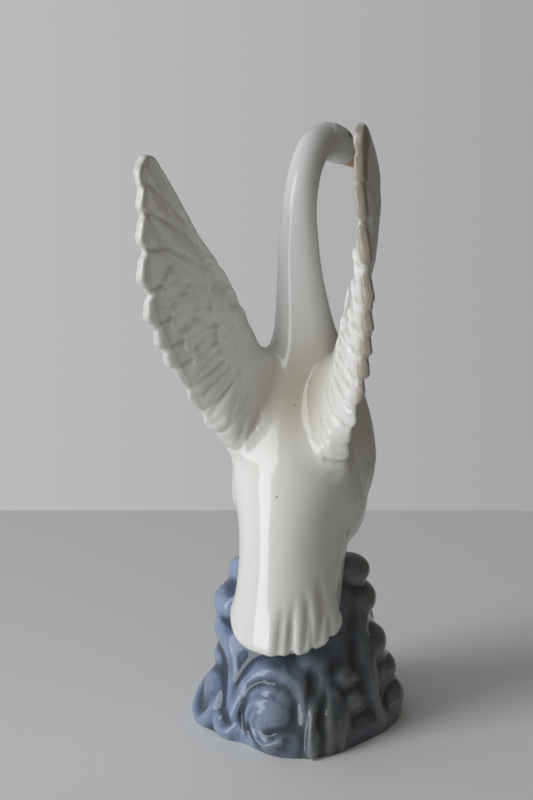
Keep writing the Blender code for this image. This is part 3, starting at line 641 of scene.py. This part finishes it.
def wing(side, pose):
    blade = Wing(side, pose)
    flight = (FLIGHT_ROOT_THICK, FLIGHT_TIP_THICK)
    covert = (COVERT_THICK, COVERT_THICK)
    rounded = len(FLIGHT_ENDS)
    pieces = [plate(blade)]
    pieces += feather_row(
        blade, FLIGHT_ENDS, FLIGHT_HEADINGS, FLIGHT_LENGTHS, FLIGHT_OVERLAP, flight, 0, rounded
    )
    for ends, headings, lengths, rise, pointed_from in (
        (GREATER_COVERT_ENDS, GREATER_COVERT_HEADINGS, GREATER_COVERT_LENGTHS, GREATER_COVERT_RISE, 3),
        (LESSER_COVERT_ENDS, LESSER_COVERT_HEADINGS, LESSER_COVERT_LENGTHS, LESSER_COVERT_RISE, rounded),
        (MARGIN_COVERT_ENDS, MARGIN_COVERT_HEADINGS, MARGIN_COVERT_LENGTHS, MARGIN_COVERT_RISE, rounded),
    ):
        lift = rise - COVERT_THICK / 2
        pieces += feather_row(blade, ends, headings, lengths, COVERT_OVERLAP, covert, lift, pointed_from)
    turn = Matrix((blade.span, blade.chord, blade.out)).transposed()
    place = blade.at(*pose["lobe"])
    pieces.append(ellipsoid("shoulder_lobe", place, SHOULDER_LOBE_SIZE, turn, SHOULDER_LOBE_FULLNESS))
    return pieces


def tail():
    """The tail fan as one rounded shell, hung from the rump and ridged in the middle."""
    sweep = math.radians(TAIL_SWEEP)
    rings = []
    for t in (0, 0.12, 0.24, 0.36, 0.46, 0.55, 0.63, 0.7, 0.77, 0.83, 0.88, 0.92, 0.95, 0.975, 0.99, 0.998):
        outer = []
        inner = []
        for turn in np.linspace(-sweep, sweep, 161):
            share = turn / sweep
            ribbed = min(max((t - TAIL_RIB_START) / (1 - TAIL_RIB_START), 0), 1) * min(max(share / 0.1, 0), 1)
            groove = ribbed * (1 - abs(math.sin(math.pi * TAIL_RIB_COUNT * share))) ** 2 * TAIL_RIB_DEPTH
            end = TAIL_END + TAIL_SIDE_RISE * abs(share) ** 3 + groove
            height = TAIL_TOP + (end - TAIL_TOP) * t
            half = 0.5 * TAIL_THICK * (0.35 + 0.65 * t) * math.sqrt(1 - (max(t - 0.94, 0) / 0.06) ** 2)
            half *= math.sqrt(1 - (max(abs(share) - 0.93, 0) / 0.0701) ** 2)
            ridge = TAIL_RIDGE * math.exp(-((share / 0.1) ** 2)) * t
            proud = TAIL_FLARE * t**2 - TAIL_SINK * (1 - t) ** 2
            for face, offset in ((outer, proud + half + ridge - groove), (inner, proud - half - groove)):
                across = (TAIL_HALF_WIDTH + offset) * math.sin(turn)
                back = TAIL_MIDDLE - (TAIL_HALF_DEPTH + offset) * math.cos(turn)
                face.append((across, back, height))
        rings.append(outer + inner[-2:0:-1])
    return [mesh_from_rings("tail", rings)]


def legs():
    pieces = []
    for side, (across, along) in ((-1, LEFT_LEG), (1, RIGHT_LEG)):
        x, y, z = THIGH_CENTRE
        lean = Matrix.Rotation(math.radians(8), 3, "X")
        pieces.append(ellipsoid("thigh", (x * side, y, z), THIGH_SIZE, lean))
        heights = np.linspace(z - THIGH_SIZE[2] * 0.6, MOUND_LEVELS[-2][0] - 6 * MM, 5)
        pieces.append(tapered_tube("leg", [(across, along, h) for h in heights], [LEG_RADIUS] * 5))
    return pieces


def reach_round(outline, bearings):
    """How far an outline reaches from the base's middle at each of the bearings, in degrees."""
    corners = [turn for turn, _ in outline]
    reaches = [reach for _, reach in outline]
    around = smooth_line(
        list(zip([b - 360 for b in corners] + corners + [b + 360 for b in corners], reaches * 3)), 600
    )
    return np.interp(bearings, around[:, 0], around[:, 1])


def around_base(bearing, reach, height):
    turn = math.radians(bearing)
    return Vector((BASE_MIDDLE[0] + reach * math.cos(turn), BASE_MIDDLE[1] + reach * math.sin(turn), height))


class Mound:
    """The mass of the base, lofted through its outlines, and places on its surface."""

    def __init__(self):
        self.bearings = np.linspace(-180, 180, 91)
        levels = [(h, *(reach_round(outline, self.bearings) * scale)) for h, outline, scale in MOUND_LEVELS]
        self.levels = smooth_line(levels, 40)

    def solid(self):
        rings = [
            [around_base(bearing, reach, height) for bearing, reach in zip(self.bearings[:-1], reaches)]
            for height, *reaches in self.levels
        ]
        return mesh_from_rings("mound", rings)

    def at(self, bearing, height, proud):
        reaches = [np.interp(bearing, self.bearings, level[1:]) for level in self.levels]
        reach = np.interp(height, self.levels[:, 0], reaches)
        return around_base(bearing, reach + proud, height)


def base():
    """The mound of water with its swells, and the crests that run down and roll over."""
    mound = Mound()
    pieces = [mound.solid()]
    for bearing, height, proud, sizes in SWELLS:
        turn = Matrix.Rotation(math.radians(bearing + 90), 3, "Z")
        pieces.append(ellipsoid("swell", mound.at(bearing, height, proud - sizes[1]), sizes, turn))
    for thick, proud, path in CRESTS:
        for spread, stand in CREST_FORMS:
            depth = proud * stand - thick * spread
            line = smooth_line([mound.at(bearing, height, depth) for bearing, height in path], 40)
            radii = thick * spread * np.sin(np.linspace(0.22, math.pi - 0.22, 40)) ** 0.35
            pieces.append(tapered_tube("crest", line, radii))
    return pieces


def foot_ring(height, inset):
    bearings = np.linspace(-180, 180, 90, endpoint=False)
    reaches = reach_round(FOOT_OUTLINE, bearings) - inset
    return [around_base(bearing, reach, height) for bearing, reach in zip(bearings, reaches)]


def floor_cutter():
    shape = bmesh.new()
    bmesh.ops.create_cube(shape, size=0.3)
    bmesh.ops.translate(shape, vec=(0, 0, -0.15), verts=shape.verts)
    return finish_mesh("floor_cutter", shape)


def recess_cutter():
    """The sunk middle of the underside, which leaves a flat foot rim to stand on."""
    below = foot_ring(-FOOT_RECESS, FOOT_RIM)
    mouth = foot_ring(0, FOOT_RIM)
    ceiling = foot_ring(FOOT_RECESS, FOOT_RIM + FOOT_RECESS)
    return mesh_from_rings("recess_cutter", [below, mouth, ceiling])


def vent_cutter():
    """The round hole that lets air out in the kiln."""
    shape = bmesh.new()
    bmesh.ops.create_cone(
        shape, cap_ends=True, segments=24, radius1=VENT_RADIUS, radius2=VENT_RADIUS, depth=2 * VENT_DEPTH
    )
    bmesh.ops.translate(shape, vec=(*BASE_MIDDLE, 0), verts=shape.verts)
    return finish_mesh("vent_cutter", shape)


def joined(name, forms):
    with bpy.context.temp_override(active_object=forms[0], selected_editable_objects=forms):
        bpy.ops.object.join()
    forms[0].name = name
    return forms[0]


def fuse(thing, grain, rounds):
    """One skin round all forms of a thing, its creases softened as glaze softens them."""
    skin = thing.modifiers.new("skin", "REMESH")
    skin.mode = "VOXEL"
    skin.voxel_size = grain
    skin.use_smooth_shade = True
    glaze = thing.modifiers.new("glaze", "SMOOTH")
    glaze.iterations = rounds
    glaze.factor = 0.5


def bake(thing):
    """Put the thing's modifiers into its mesh."""
    graph = bpy.context.evaluated_depsgraph_get()
    thing.data = bpy.data.meshes.new_from_object(thing.evaluated_get(graph))
    thing.modifiers.clear()


def to_plain_mesh(thing, facets):
    """The thing as a plain mesh of at most the given number of triangles, in the frame's place."""
    bake(thing)
    thing.data.calc_loop_triangles()
    count = len(thing.data.loop_triangles)
    if count > facets:
        thing.modifiers.new("fewer", "DECIMATE").ratio = facets / count
        bake(thing)
    thing.data.transform(Matrix.Translation(MODEL_SHIFT))
    thing.data.shade_smooth()


def places_of(mesh, what="co"):
    """The mesh's places, or its normals, as rows of an array."""
    places = np.empty(len(mesh.vertices) * 3)
    mesh.vertices.foreach_get(what, places)
    return places.reshape(-1, 3)


def relaxed(mesh, rounds, share=1.0):
    """The mesh's places after so many rounds of evening out, each point taking its share of it."""
    count = len(mesh.vertices)
    places = places_of(mesh)
    edges = np.empty(len(mesh.edges) * 2, dtype=np.int64)
    mesh.edges.foreach_get("vertices", edges)
    ends = edges.reshape(-1, 2)
    starts = np.concatenate([ends[:, 0], ends[:, 1]])
    others = np.concatenate([ends[:, 1], ends[:, 0]])
    degree = np.bincount(starts, minlength=count)[:, None]
    step = 0.6 * share
    for _ in range(rounds):
        near = [np.bincount(starts, places[others, k], minlength=count) for k in range(3)]
        places = (1 - step) * places + step * np.column_stack(near) / degree
    return places


def curvature(mesh, rounds):
    """How far each point stands out of its neighbourhood, in metres; hollows are negative."""
    return ((places_of(mesh) - relaxed(mesh, rounds)) * places_of(mesh, "normal")).sum(axis=1)


def put_places(mesh, places):
    mesh.vertices.foreach_set("co", places.ravel())
    mesh.update()


def store(mesh, name, values):
    layer = mesh.attributes.new(name, "FLOAT", "POINT")
    layer.data.foreach_set("value", np.asarray(values, dtype=np.float32))


def azimuth_direction(azimuth, rise=0.0):
    """Unit vector from the object towards an azimuth round it; 0 is towards -Y."""
    a, e = math.radians(azimuth), math.radians(rise)
    return Vector((math.sin(a) * math.cos(e), -math.cos(a) * math.cos(e), math.sin(e)))


class Nodes:
    """A node tree whose nodes are added and linked in short calls."""

    def __init__(self, tree):
        self.tree = tree

    def plug(self, node, sockets):
        """Set each named or numbered input to a plain value, or link it from a socket."""
        for name, value in sockets.items():
            target = node.inputs[name]
            if isinstance(value, bpy.types.NodeSocket):
                self.tree.links.new(value, target)
            elif isinstance(value, tuple) and len(value) == 3 and target.type == "RGBA":
                target.default_value = (*value, 1)
            else:
                target.default_value = value

    def add(self, kind, output, sockets, **settings):
        """The named output of a new node, with its inputs plugged."""
        node = self.tree.nodes.new(kind)
        for name, value in settings.items():
            setattr(node, name, value)
        self.plug(node, sockets)
        return node.outputs[output]

    def range(self, value, low, high, start=0.0, end=1.0):
        sockets = {"Value": value, "From Min": low, "From Max": high, "To Min": start, "To Max": end}
        return self.add("ShaderNodeMapRange", "Result", sockets)

    def maths(self, operation, first, second):
        return self.add("ShaderNodeMath", "Value", {0: first, 1: second}, operation=operation)

    def mix(self, share, first, second):
        sockets = {"Factor": share, "A": first, "B": second}
        return self.add("ShaderNodeMix", "Result", sockets, data_type="RGBA")


class Shader(Nodes):
    """The nodes of a new material."""

    def __init__(self, name):
        self.material = bpy.data.materials.new(name)
        self.material.use_nodes = True
        super().__init__(self.material.node_tree)
        self.surface = self.tree.nodes["Principled BSDF"]

    def attribute(self, name):
        return self.add("ShaderNodeAttribute", "Fac", {}, attribute_name=name)

    def place(self):
        return self.add("ShaderNodeTexCoord", "Object", {})

    def noise(self, scale, detail=2.0, roughness=0.5, distortion=0.0):
        sockets = {"Scale": scale, "Detail": detail, "Roughness": roughness, "Distortion": distortion}
        return self.add("ShaderNodeTexNoise", "Fac", {"Vector": self.place(), **sockets})

    def spot(self, place, radius):
        """1 inside a small round spot and 0 outside it."""
        away = self.add("ShaderNodeVectorMath", "Value", {0: self.place(), 1: place}, operation="DISTANCE")
        return self.range(away, radius, 0.55 * radius)

    def bump(self, height, strength, distance):
        sockets = {"Height": height, "Strength": strength, "Distance": distance}
        self.plug(self.surface, {"Normal": self.add("ShaderNodeBump", "Normal", sockets)})


PORCELAIN = (0.80, 0.78, 0.735)
PORCELAIN_COOL = (0.77, 0.765, 0.74)
# Warm painted shade for the wings' rims, the creases and the hollow between the wings' roots
RIM_SHADE = (0.35, 0.285, 0.20)
CREASE_SHADE = (0.50, 0.465, 0.375)
SADDLE_SHADE = (0.43, 0.385, 0.28)
FLECK_DARK = (0.06, 0.055, 0.05)
SPECK_BROWN = (0.33, 0.24, 0.12)

# Small marks in the glaze, with their places, radii and colours
SPECKS = tuple((*millimetres(lengths), paint) for *lengths, paint in (
    ((32.3, -23.4, 186.4), 1.0, FLECK_DARK),
    ((1.9, -11.1, 120.4), 0.45, SPECK_BROWN),
    ((23.9, -5.3, 92.0), 0.45, SPECK_BROWN),
    ((0.2, -28.2, 64.8), 0.4, SPECK_BROWN),
    ((-0.6, -23.6, 90.7), 0.45, SPECK_BROWN),
))
BEAK_PAINT = (0.55, 0.20, 0.07)
EYE_PAINT = (0.02, 0.016, 0.014)
LEG_PAINT = (0.50, 0.21, 0.08)


def white_glaze():
    """Clear gloss glaze over white porcelain, with warm painted shade on the feathers' edges, in the creases
    and between the wings' roots.
    """
    shader = Shader("white_glaze")
    colour = shader.mix(shader.range(shader.noise(14), 0.35, 0.65), PORCELAIN, PORCELAIN_COOL)
    # Painted shade between the wings' roots, in the creases and along the wings' rims
    for name, glaze in (("saddle_shade", SADDLE_SHADE), ("hollow", CREASE_SHADE), ("rim", RIM_SHADE)):
        colour = shader.mix(shader.attribute(name), colour, glaze)
    for place, radius, paint in SPECKS:
        spot = shader.spot(tuple(Vector(place) + Vector(MODEL_SHIFT)), radius)
        colour = shader.mix(spot, colour, paint)
    for name, paint in (("leg", LEG_PAINT), ("beak", BEAK_PAINT), ("eye", EYE_PAINT)):
        colour = shader.mix(shader.attribute(name), colour, paint)
    shader.plug(shader.surface, {
        "Base Color": colour,
        "Roughness": shader.range(shader.noise(60, 3), 0.3, 0.7, 0.09, 0.14),
        "IOR": 1.5,
        "Subsurface Weight": 0.12,
        "Subsurface Radius": (1.0, 0.85, 0.65),
        "Subsurface Scale": 0.0015,
    })
    shader.bump(shader.noise(110, 2), 0.05, 0.0006)
    return shader.material


# Blue glaze; the darker colours kept for the right side and the hollows are painted shade
WATER_PALE = (0.30, 0.37, 0.51)
WATER_MID = (0.13, 0.175, 0.275)
WATER_HOLLOW_SHADE = (0.042, 0.052, 0.075)
WATER_HOLLOW_SHADE_RIGHT = (0.062, 0.066, 0.060)
WATER_SHADED = (0.105, 0.11, 0.105)
WATER_GREEN = (0.15, 0.16, 0.14)
WATER_PALE_SHADED = (0.21, 0.225, 0.205)
WATER_STREAK = (0.05, 0.065, 0.10)
COBALT = (0.05, 0.07, 0.16)
BISCUIT = (0.62, 0.58, 0.51)


def water_glaze():
    """Blue-grey underglaze under clear gloss, mottled, pale where it runs thin, with painted shade in the
    hollows and on the right side.
    """
    shader = Shader("water_glaze")
    shade_side = shader.attribute("shade_side")
    hollow = shader.attribute("hollow")
    biscuit = shader.attribute("biscuit")
    mottle = shader.noise(34, 5, 0.6, 0.9)
    colour = shader.mix(shader.range(mottle, 0.38, 0.62), WATER_MID, WATER_PALE)
    patches = shader.range(shader.noise(22, 2), 0.56, 0.70)
    green = shader.maths("MULTIPLY", patches, shade_side)
    # Painted shade: the right side greyer and darker, its crests and hollows too
    colour = shader.mix(shader.range(shade_side, 0, 1, 0, 0.75), colour, WATER_SHADED)
    colour = shader.mix(green, colour, WATER_GREEN)
    streaks = shader.range(shader.noise(26, 3, 0.6, 2.5), 0.49, 0.62, 0, 0.7)
    colour = shader.mix(streaks, colour, WATER_STREAK)
    foam = shader.mix(shade_side, WATER_PALE, WATER_PALE_SHADED)
    colour = shader.mix(shader.attribute("crest"), colour, foam)
    # Painted shade darkening the hollows, darker still on the right side
    deep = shader.mix(shade_side, WATER_HOLLOW_SHADE, WATER_HOLLOW_SHADE_RIGHT)
    colour = shader.mix(hollow, colour, deep)
    specks = shader.range(shader.noise(420, 2), 0.63, 0.69)
    specks = shader.maths("MULTIPLY", specks, shader.range(hollow, 0.05, 0.5, 0.25, 0.95))
    colour = shader.mix(specks, colour, COBALT)
    colour = shader.mix(biscuit, colour, BISCUIT)
    gloss = shader.range(shader.noise(80, 3), 0.3, 0.7, 0.05, 0.11)
    bare = shader.range(biscuit, 0, 1, 0, 0.75)
    roughness = shader.maths("MAXIMUM", gloss, bare)
    shader.plug(shader.surface, {"Base Color": colour, "Roughness": roughness, "IOR": 1.5})
    shader.bump(shader.noise(130, 2), 0.06, 0.0006)
    return shader.material


def ramp(values, low, high):
    return np.clip((np.asarray(values) - low) / (high - low), 0, 1)


def places_on_wing(blade, places):
    """Places in the frame as places along a wing's span, across its chord and out of its blade."""
    away = places - np.array(blade.origin)
    p = away @ np.array(blade.span)
    share = np.clip(p / WING_LENGTH, 0, 1)
    bow = WING_BOW * np.maximum(1 - (2 * p / WING_LENGTH - 1) ** 2, 0)
    bow -= blade.curl * (np.maximum(share - WING_CURL_START, 0) / (1 - WING_CURL_START)) ** 2
    twist = math.radians(WING_TWIST) * share
    across = away @ np.array(blade.chord) - WING_CHORD
    outward = away @ np.array(blade.out) + bow + WING_SET_BACK
    q = WING_CHORD + across * np.cos(twist) + outward * np.sin(twist)
    camber = WING_ROOT_CAMBER + (WING_TIP_CAMBER - WING_ROOT_CAMBER) * share
    hollow = camber * np.maximum(1 - (2 * q / WING_CHORD - 1) ** 2, 0)
    r = outward * np.cos(twist) - across * np.sin(twist) - hollow
    return p, q, r


def groove_lines(ends, headings, reach, depth):
    """Grooves that run in from between the feathers and, more faintly, down their middles."""
    ends = on_blade(ends)
    last = len(ends) - 1
    rows = []
    for half_step in range(2 * last + 1):
        index = half_step / 2
        share = index / last
        between = half_step % 2 == 1
        end = (ends[int(math.floor(index))] + ends[int(math.ceil(index))]) / 2
        heading = headings[0] + (headings[1] - headings[0]) * share**0.6
        length = reach[0] + (reach[1] - reach[0]) * share
        fine = np.linspace(1, 0, int(length / GROOVE_STEP))
        straight = min(FEATHER_BEND[0] + FEATHER_BEND[1] * share, 1)
        turns = np.radians(heading * (straight + (1 - straight) * fine**2))
        steps = np.column_stack([np.cos(turns), np.sin(turns)]) * GROOVE_STEP
        line = end - np.cumsum(steps, axis=0)
        depths = depth * (1 if between else GROOVE_FAINT_SHARE) * np.minimum(fine * 2.2, 1)
        rows.append(np.column_stack([line, depths]))
    return np.vstack(rows)


def groove_points(lines, depth):
    """Evenly spaced points along smooth lines, whose depth fades out at both ends."""
    rows = []
    for line in lines:
        points = smooth_line(line, 80)
        depths = depth * np.sin(np.linspace(0, math.pi, len(points))) ** 0.6
        rows.append(np.column_stack([points, depths]))
    return np.vstack(rows)


def nearest_tree(points):
    """Flat points, ready to be searched for the nearest one."""
    tree = kdtree.KDTree(len(points))
    for index, (along, across) in enumerate(points):
        tree.insert((along, across, 0), index)
    tree.balance()
    return tree


def carve(places, normals, chosen, p, q, lines, half_width=GROOVE_HALF_WIDTH):
    """Press the grooves into the chosen places."""
    tree = nearest_tree(lines[:, :2])
    for k in np.flatnonzero(chosen):
        _, index, distance = tree.find((p[k], q[k], 0))
        places[k] -= normals[k] * lines[index, 2] * math.exp(-((distance / half_width) ** 2))


def melt_joins(mesh):
    """Melt the wings' roots, the tail's seam and the nape, and draw out the right wing's tip."""
    share = np.zeros((len(mesh.vertices), 1))
    places = places_of(mesh) - np.array(MODEL_SHIFT)
    for side, pose in WINGS:
        p, q, r = places_on_wing(Wing(side, pose), places)
        near = ramp(-p, -ROOT_MELT_END, -ROOT_MELT_START) * ramp(p, *ROOT_MELT_SPAN)
        near *= ramp(q, *ROOT_MELT_FRONT) * ramp(ROOT_MELT_CHORD - q, 0, ROOT_MELT_FADE)
        near *= ramp(r, *ROOT_MELT_DEPTH)
        share[:, 0] = np.maximum(share[:, 0], near)
    seam = ramp(places[:, 2], *SEAM_BOTTOM) * ramp(-places[:, 2], -SEAM_TOP[1], -SEAM_TOP[0])
    seam *= ramp(-places[:, 1], *SEAM_BACK)
    nape = np.linalg.norm(places - np.array((0, TRUNK[-1][0], TRUNK[-1][1])), axis=1)
    near_nape = NAPE_SHARE * ramp(-nape, -NAPE_REACH[1], -NAPE_REACH[0])
    share[:, 0] = np.maximum(share[:, 0], np.maximum(seam, near_nape))
    relaxed_places = relaxed(mesh, MELT_COUNT, share)
    right = Wing(1, RIGHT_WING)
    p, _, r = places_on_wing(right, places)
    reach = ramp(p, 0.5 * WING_LENGTH, WING_LENGTH) * (np.abs(r) < 9 * MM)
    relaxed_places += np.outer(RIGHT_TIP_REACH * reach, np.array(right.span))
    put_places(mesh, relaxed_places)


def press_grooves(mesh):
    """Press in the lines of the feathers, and the folds of the flanks and the tail."""
    shift = np.array(MODEL_SHIFT)
    places = places_of(mesh) - shift
    normals = places_of(mesh, "normal")
    flight_lines = groove_lines(FLIGHT_ENDS, FLIGHT_LINE_HEADINGS, FLIGHT_LINE_REACH, FLIGHT_GROOVE)
    greater_lines = groove_lines(GREATER_COVERT_ENDS, COVERT_LINE_HEADINGS, COVERT_LINE_REACH, COVERT_GROOVE)
    lesser_lines = groove_lines(LESSER_COVERT_ENDS, COVERT_LINE_HEADINGS, COVERT_LINE_REACH, SOFT_GROOVE)
    for side, pose in WINGS:
        p, q, r = places_on_wing(Wing(side, pose), places)
        on_wing = (p > GROOVE_START) & (np.abs(r) < BLADE_HALF) & (q > -3 * MM) & (q < WING_CHORD * 1.2)
        carve(places, normals, on_wing, p, q, flight_lines)
        carve(places, normals, on_wing & (r > 0), p, q, greater_lines)
        carve(places, normals, on_wing & (r > 0), p, q, lesser_lines)
    flank = groove_points(FLANK_FOLDS, FLANK_FOLD_DEPTH)
    on_flank = (np.abs(places[:, 0]) > 14 * MM) & (places[:, 2] > 64 * MM) & (places[:, 2] < 106 * MM)
    carve(places, normals, on_flank, places[:, 1], places[:, 2], flank, FLANK_FOLD_HALF_WIDTH)
    ribs = groove_points(TAIL_FOLDS, TAIL_FOLD_DEPTH)
    on_tail = (normals[:, 1] < 0) & (places[:, 1] < -6 * MM) & (places[:, 2] < 66 * MM)
    carve(places, normals, on_tail, places[:, 0], places[:, 2], ribs, TAIL_FOLD_HALF_WIDTH)
    put_places(mesh, places + shift)
    put_places(mesh, relaxed(mesh, GROOVE_SOFTEN_COUNT))


def paint_bird(thing):
    """Mark painted shade along the wings' rims, in the creases and between the wings' roots, and where colour
    is painted.
    """
    mesh = thing.data
    places = places_of(mesh) - np.array(MODEL_SHIFT)
    fine = curvature(mesh, 12)
    outline = smooth_line(on_blade(FLIGHT_ENDS), 300)
    tree = nearest_tree(outline)
    rim = np.zeros(len(places))
    for side, pose in WINGS:
        p, q, r = places_on_wing(Wing(side, pose), places)
        on_wing = (p > 4 * MM) & (np.abs(r) < BLADE_HALF) & (q > -6 * MM) & (q < 1.3 * WING_CHORD)
        inset = np.full(len(places), WING_CHORD)
        for k in np.flatnonzero(on_wing):
            inset[k] = tree.find((p[k], q[k], 0))[2]
        # Warm painted shade along the wings' rims: a thin line inside the rim on the blade's back, and a band
        # on the rim, strong on the right wing and faint on the left
        line = np.exp(-(((inset - RIM_LINE_INSET) / RIM_LINE_HALF_WIDTH) ** 2)) * (r > 0) * 0.3
        band = ramp(-inset, -RIM_BAND_END, -RIM_BAND_START) * (0.8 if side > 0 else 0.2)
        rim = np.maximum(rim, np.maximum(line, band) * ramp(p, 4 * MM, 12 * MM) * on_wing)
    store(mesh, "rim", rim)
    # Painted shade in the bird's creases and hollows
    store(mesh, "hollow", 0.6 * ramp(-fine, 0.02 * MM, 0.14 * MM))
    # Warm painted shade in the hollow between the wings' roots
    away = np.linalg.norm((places - np.array(SADDLE)) / np.array(SADDLE_REACH), axis=1)
    store(mesh, "saddle_shade", SADDLE_SHADE_STRENGTH * np.exp(-(away**2)))
    head = np.array(head_frame().inverted())
    ahead = places @ head[:3, :3].T + head[:3, 3]
    near_head = ramp(places[:, 2], HEAD_LEVEL, HEAD_LEVEL + 3 * MM)
    store(mesh, "beak", near_head * ramp(ahead[:, 1], 0.30 * HEAD_LENGTH, 0.42 * HEAD_LENGTH))
    eyes = np.zeros(len(places))
    eye = head[:3, :3] @ np.array(RIGHT_EYE) + head[:3, 3]
    for side in (-1, 1):
        away = (ahead - eye * (side, 1, 1)) / np.array(EYE_HALF_SIZES)
        eyes = np.maximum(eyes, ramp(-np.linalg.norm(away, axis=1), -1.25, -0.9))
    store(mesh, "eye", eyes)
    painted = np.zeros(len(places))
    for leg in (LEFT_LEG, RIGHT_LEG):
        away = np.linalg.norm(places[:, :2] - np.array(leg), axis=1)
        painted = np.maximum(painted, ramp(-away, -LEG_RADIUS - 1.6 * MM, -LEG_RADIUS - 0.9 * MM))
    store(mesh, "leg", painted * ramp(-places[:, 2], -LEG_PAINT_TOP, 1 * MM - LEG_PAINT_TOP))


def swirl(radius, start, end):
    """One arc round the dome of the wave, from a bearing to another, as places across and up."""
    turns = np.radians(np.linspace(start, end, 12))
    return [(SWIRL_CENTRE[0] + radius * math.cos(a), SWIRL_CENTRE[1] + radius * math.sin(a)) for a in turns]


def refine_water(mesh):
    """Press the swirls and the falling folds into the side of the base that faces back."""
    places = places_of(mesh) - np.array(MODEL_SHIFT)
    normals = places_of(mesh, "normal")
    facing = (normals[:, 1] < -0.15) & (places[:, 1] < -4 * MM) & (places[:, 2] > 2.5 * MM)
    swirls = groove_points([swirl(*arc) for arc in SWIRLS], SWIRL_DEPTH)
    folds = groove_points(WATER_FOLDS, WATER_FOLD_DEPTH)
    carve(places, normals, facing, places[:, 0], places[:, 2], swirls, SWIRL_HALF_WIDTH)
    carve(places, normals, facing, places[:, 0], places[:, 2], folds, WATER_FOLD_HALF_WIDTH)
    put_places(mesh, places + np.array(MODEL_SHIFT))


def paint_water(thing):
    """Mark the crests, painted shade in the hollows and on the right side, and the bare underside."""
    mesh = thing.data
    places = places_of(mesh) - np.array(MODEL_SHIFT)
    fine = curvature(mesh, 20)
    broad = curvature(mesh, 110)
    store(mesh, "crest", 0.7 * ramp(fine, np.quantile(fine, 0.55), np.quantile(fine, 0.93)))
    # Painted shade in the hollows, and on the right side away from the window
    store(mesh, "hollow", 0.94 * ramp(-broad, np.quantile(-broad, 0.55), np.quantile(-broad, 0.9)))
    store(mesh, "shade_side", ramp(places[:, 0], -12 * MM, 20 * MM))
    under = ramp(-places[:, 2], -4 * MM, -3 * MM) * ramp(-places_of(mesh, "normal")[:, 2], 0.5, 0.8)
    store(mesh, "biscuit", under)


def bird():
    """The bird, fused from its forms into one skin, with its feathers pressed in."""
    forms = [*trunk(), *head(), *wing(-1, LEFT_WING), *wing(1, RIGHT_WING), *tail(), *legs()]
    thing = joined("bird", forms)
    fuse(thing, BIRD_GRAIN, BIRD_SMOOTH_COUNT)
    to_plain_mesh(thing, BIRD_FACETS)
    melt_joins(thing.data)
    press_grooves(thing.data)
    paint_bird(thing)
    thing.data.materials.clear()
    thing.data.materials.append(white_glaze())
    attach(thing, "root")
    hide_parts("figurine")


def water():
    """The base of breaking water, with its sunk underside."""
    thing = joined("water", base())
    fuse(thing, WATER_GRAIN, WATER_SMOOTH_COUNT)
    cutters = [floor_cutter(), recess_cutter(), vent_cutter()]
    for cutter in cutters:
        cut = thing.modifiers.new(cutter.name, "BOOLEAN")
        cut.operation = "DIFFERENCE"
        cut.object = cutter
    to_plain_mesh(thing, WATER_FACETS)
    for cutter in cutters:
        bpy.data.objects.remove(cutter, do_unlink=True)
    refine_water(thing.data)
    paint_water(thing)
    thing.data.materials.clear()
    thing.data.materials.append(water_glaze())
    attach(thing, "root")
    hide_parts("figurine")


def camera():
    data = bpy.data.cameras.new("camera")
    data.lens = CAMERA_LENS
    data.sensor_width = CAMERA_SENSOR
    data.clip_start = 0.01
    thing = link_object("camera", data)
    thing.location = Vector(CAMERA_PLACE) + Vector(MODEL_SHIFT)
    thing.rotation_euler = (math.radians(90 - VIEW_TILT), 0, math.radians(VIEW_AZIMUTH))
    bpy.context.scene.camera = thing


def table():
    bpy.ops.mesh.primitive_cube_add(size=1)
    top = bpy.context.object
    top.name = "table"
    top.scale = (2 * TABLE_HALF, 2 * TABLE_HALF, TABLE_THICK)
    top.location = (0, 0, -TABLE_THICK / 2)
    top.rotation_euler.z = math.radians(VIEW_AZIMUTH)
    shader = Shader("table")
    shader.plug(shader.surface, {"Base Color": TABLE_COLOUR, "Roughness": 0.55})
    top.data.materials.append(shader.material)


def window():
    data = bpy.data.lights.new("window", "AREA")
    data.shape = "RECTANGLE"
    data.size, data.size_y = WINDOW_SIZE
    data.energy = WINDOW_POWER
    data.color = WINDOW_COLOUR
    thing = link_object("window", data)
    towards = azimuth_direction(VIEW_AZIMUTH - WINDOW_AZIMUTH, WINDOW_RISE)
    thing.location = towards * WINDOW_DISTANCE + Vector((0, 0, 0.1))
    thing.rotation_euler = towards.to_track_quat("Z", "Y").to_euler()


def world():
    """A room, dark on the right and pale on the left, that the camera sees as a wall painted paler on the
    left and darker on the right as painted light from the window.
    """
    room = bpy.data.worlds.new("room")
    bpy.context.scene.world = room
    room.use_nodes = True
    room.node_tree.nodes.clear()
    nodes = Nodes(room.node_tree)
    place = nodes.add("ShaderNodeTexCoord", "Generated", {})
    left = azimuth_direction(VIEW_AZIMUTH - 90)
    side = nodes.add("ShaderNodeVectorMath", "Value", {0: place, 1: left}, operation="DOT_PRODUCT")
    shades = []
    for reach, right_colour, left_colour in (
        (ROOM_REACH, ROOM_DARK, ROOM_PALE),
        (WALL_REACH, WALL_RIGHT, WALL_LEFT),
    ):
        colour = nodes.mix(nodes.range(side, *reach), right_colour, left_colour)
        shades.append(nodes.add("ShaderNodeBackground", "Background", {"Color": colour}))
    seen = nodes.add("ShaderNodeLightPath", "Is Camera Ray", {})
    choice = nodes.add("ShaderNodeMixShader", "Shader", {"Fac": seen, 1: shades[0], 2: shades[1]})
    output = room.node_tree.nodes.new("ShaderNodeOutputWorld")
    nodes.plug(output, {"Surface": choice})


def main():
    bird()
    water()
    camera()
    table()
    window()
    world()
    bpy.context.scene.view_settings.view_transform = "Standard"


main()
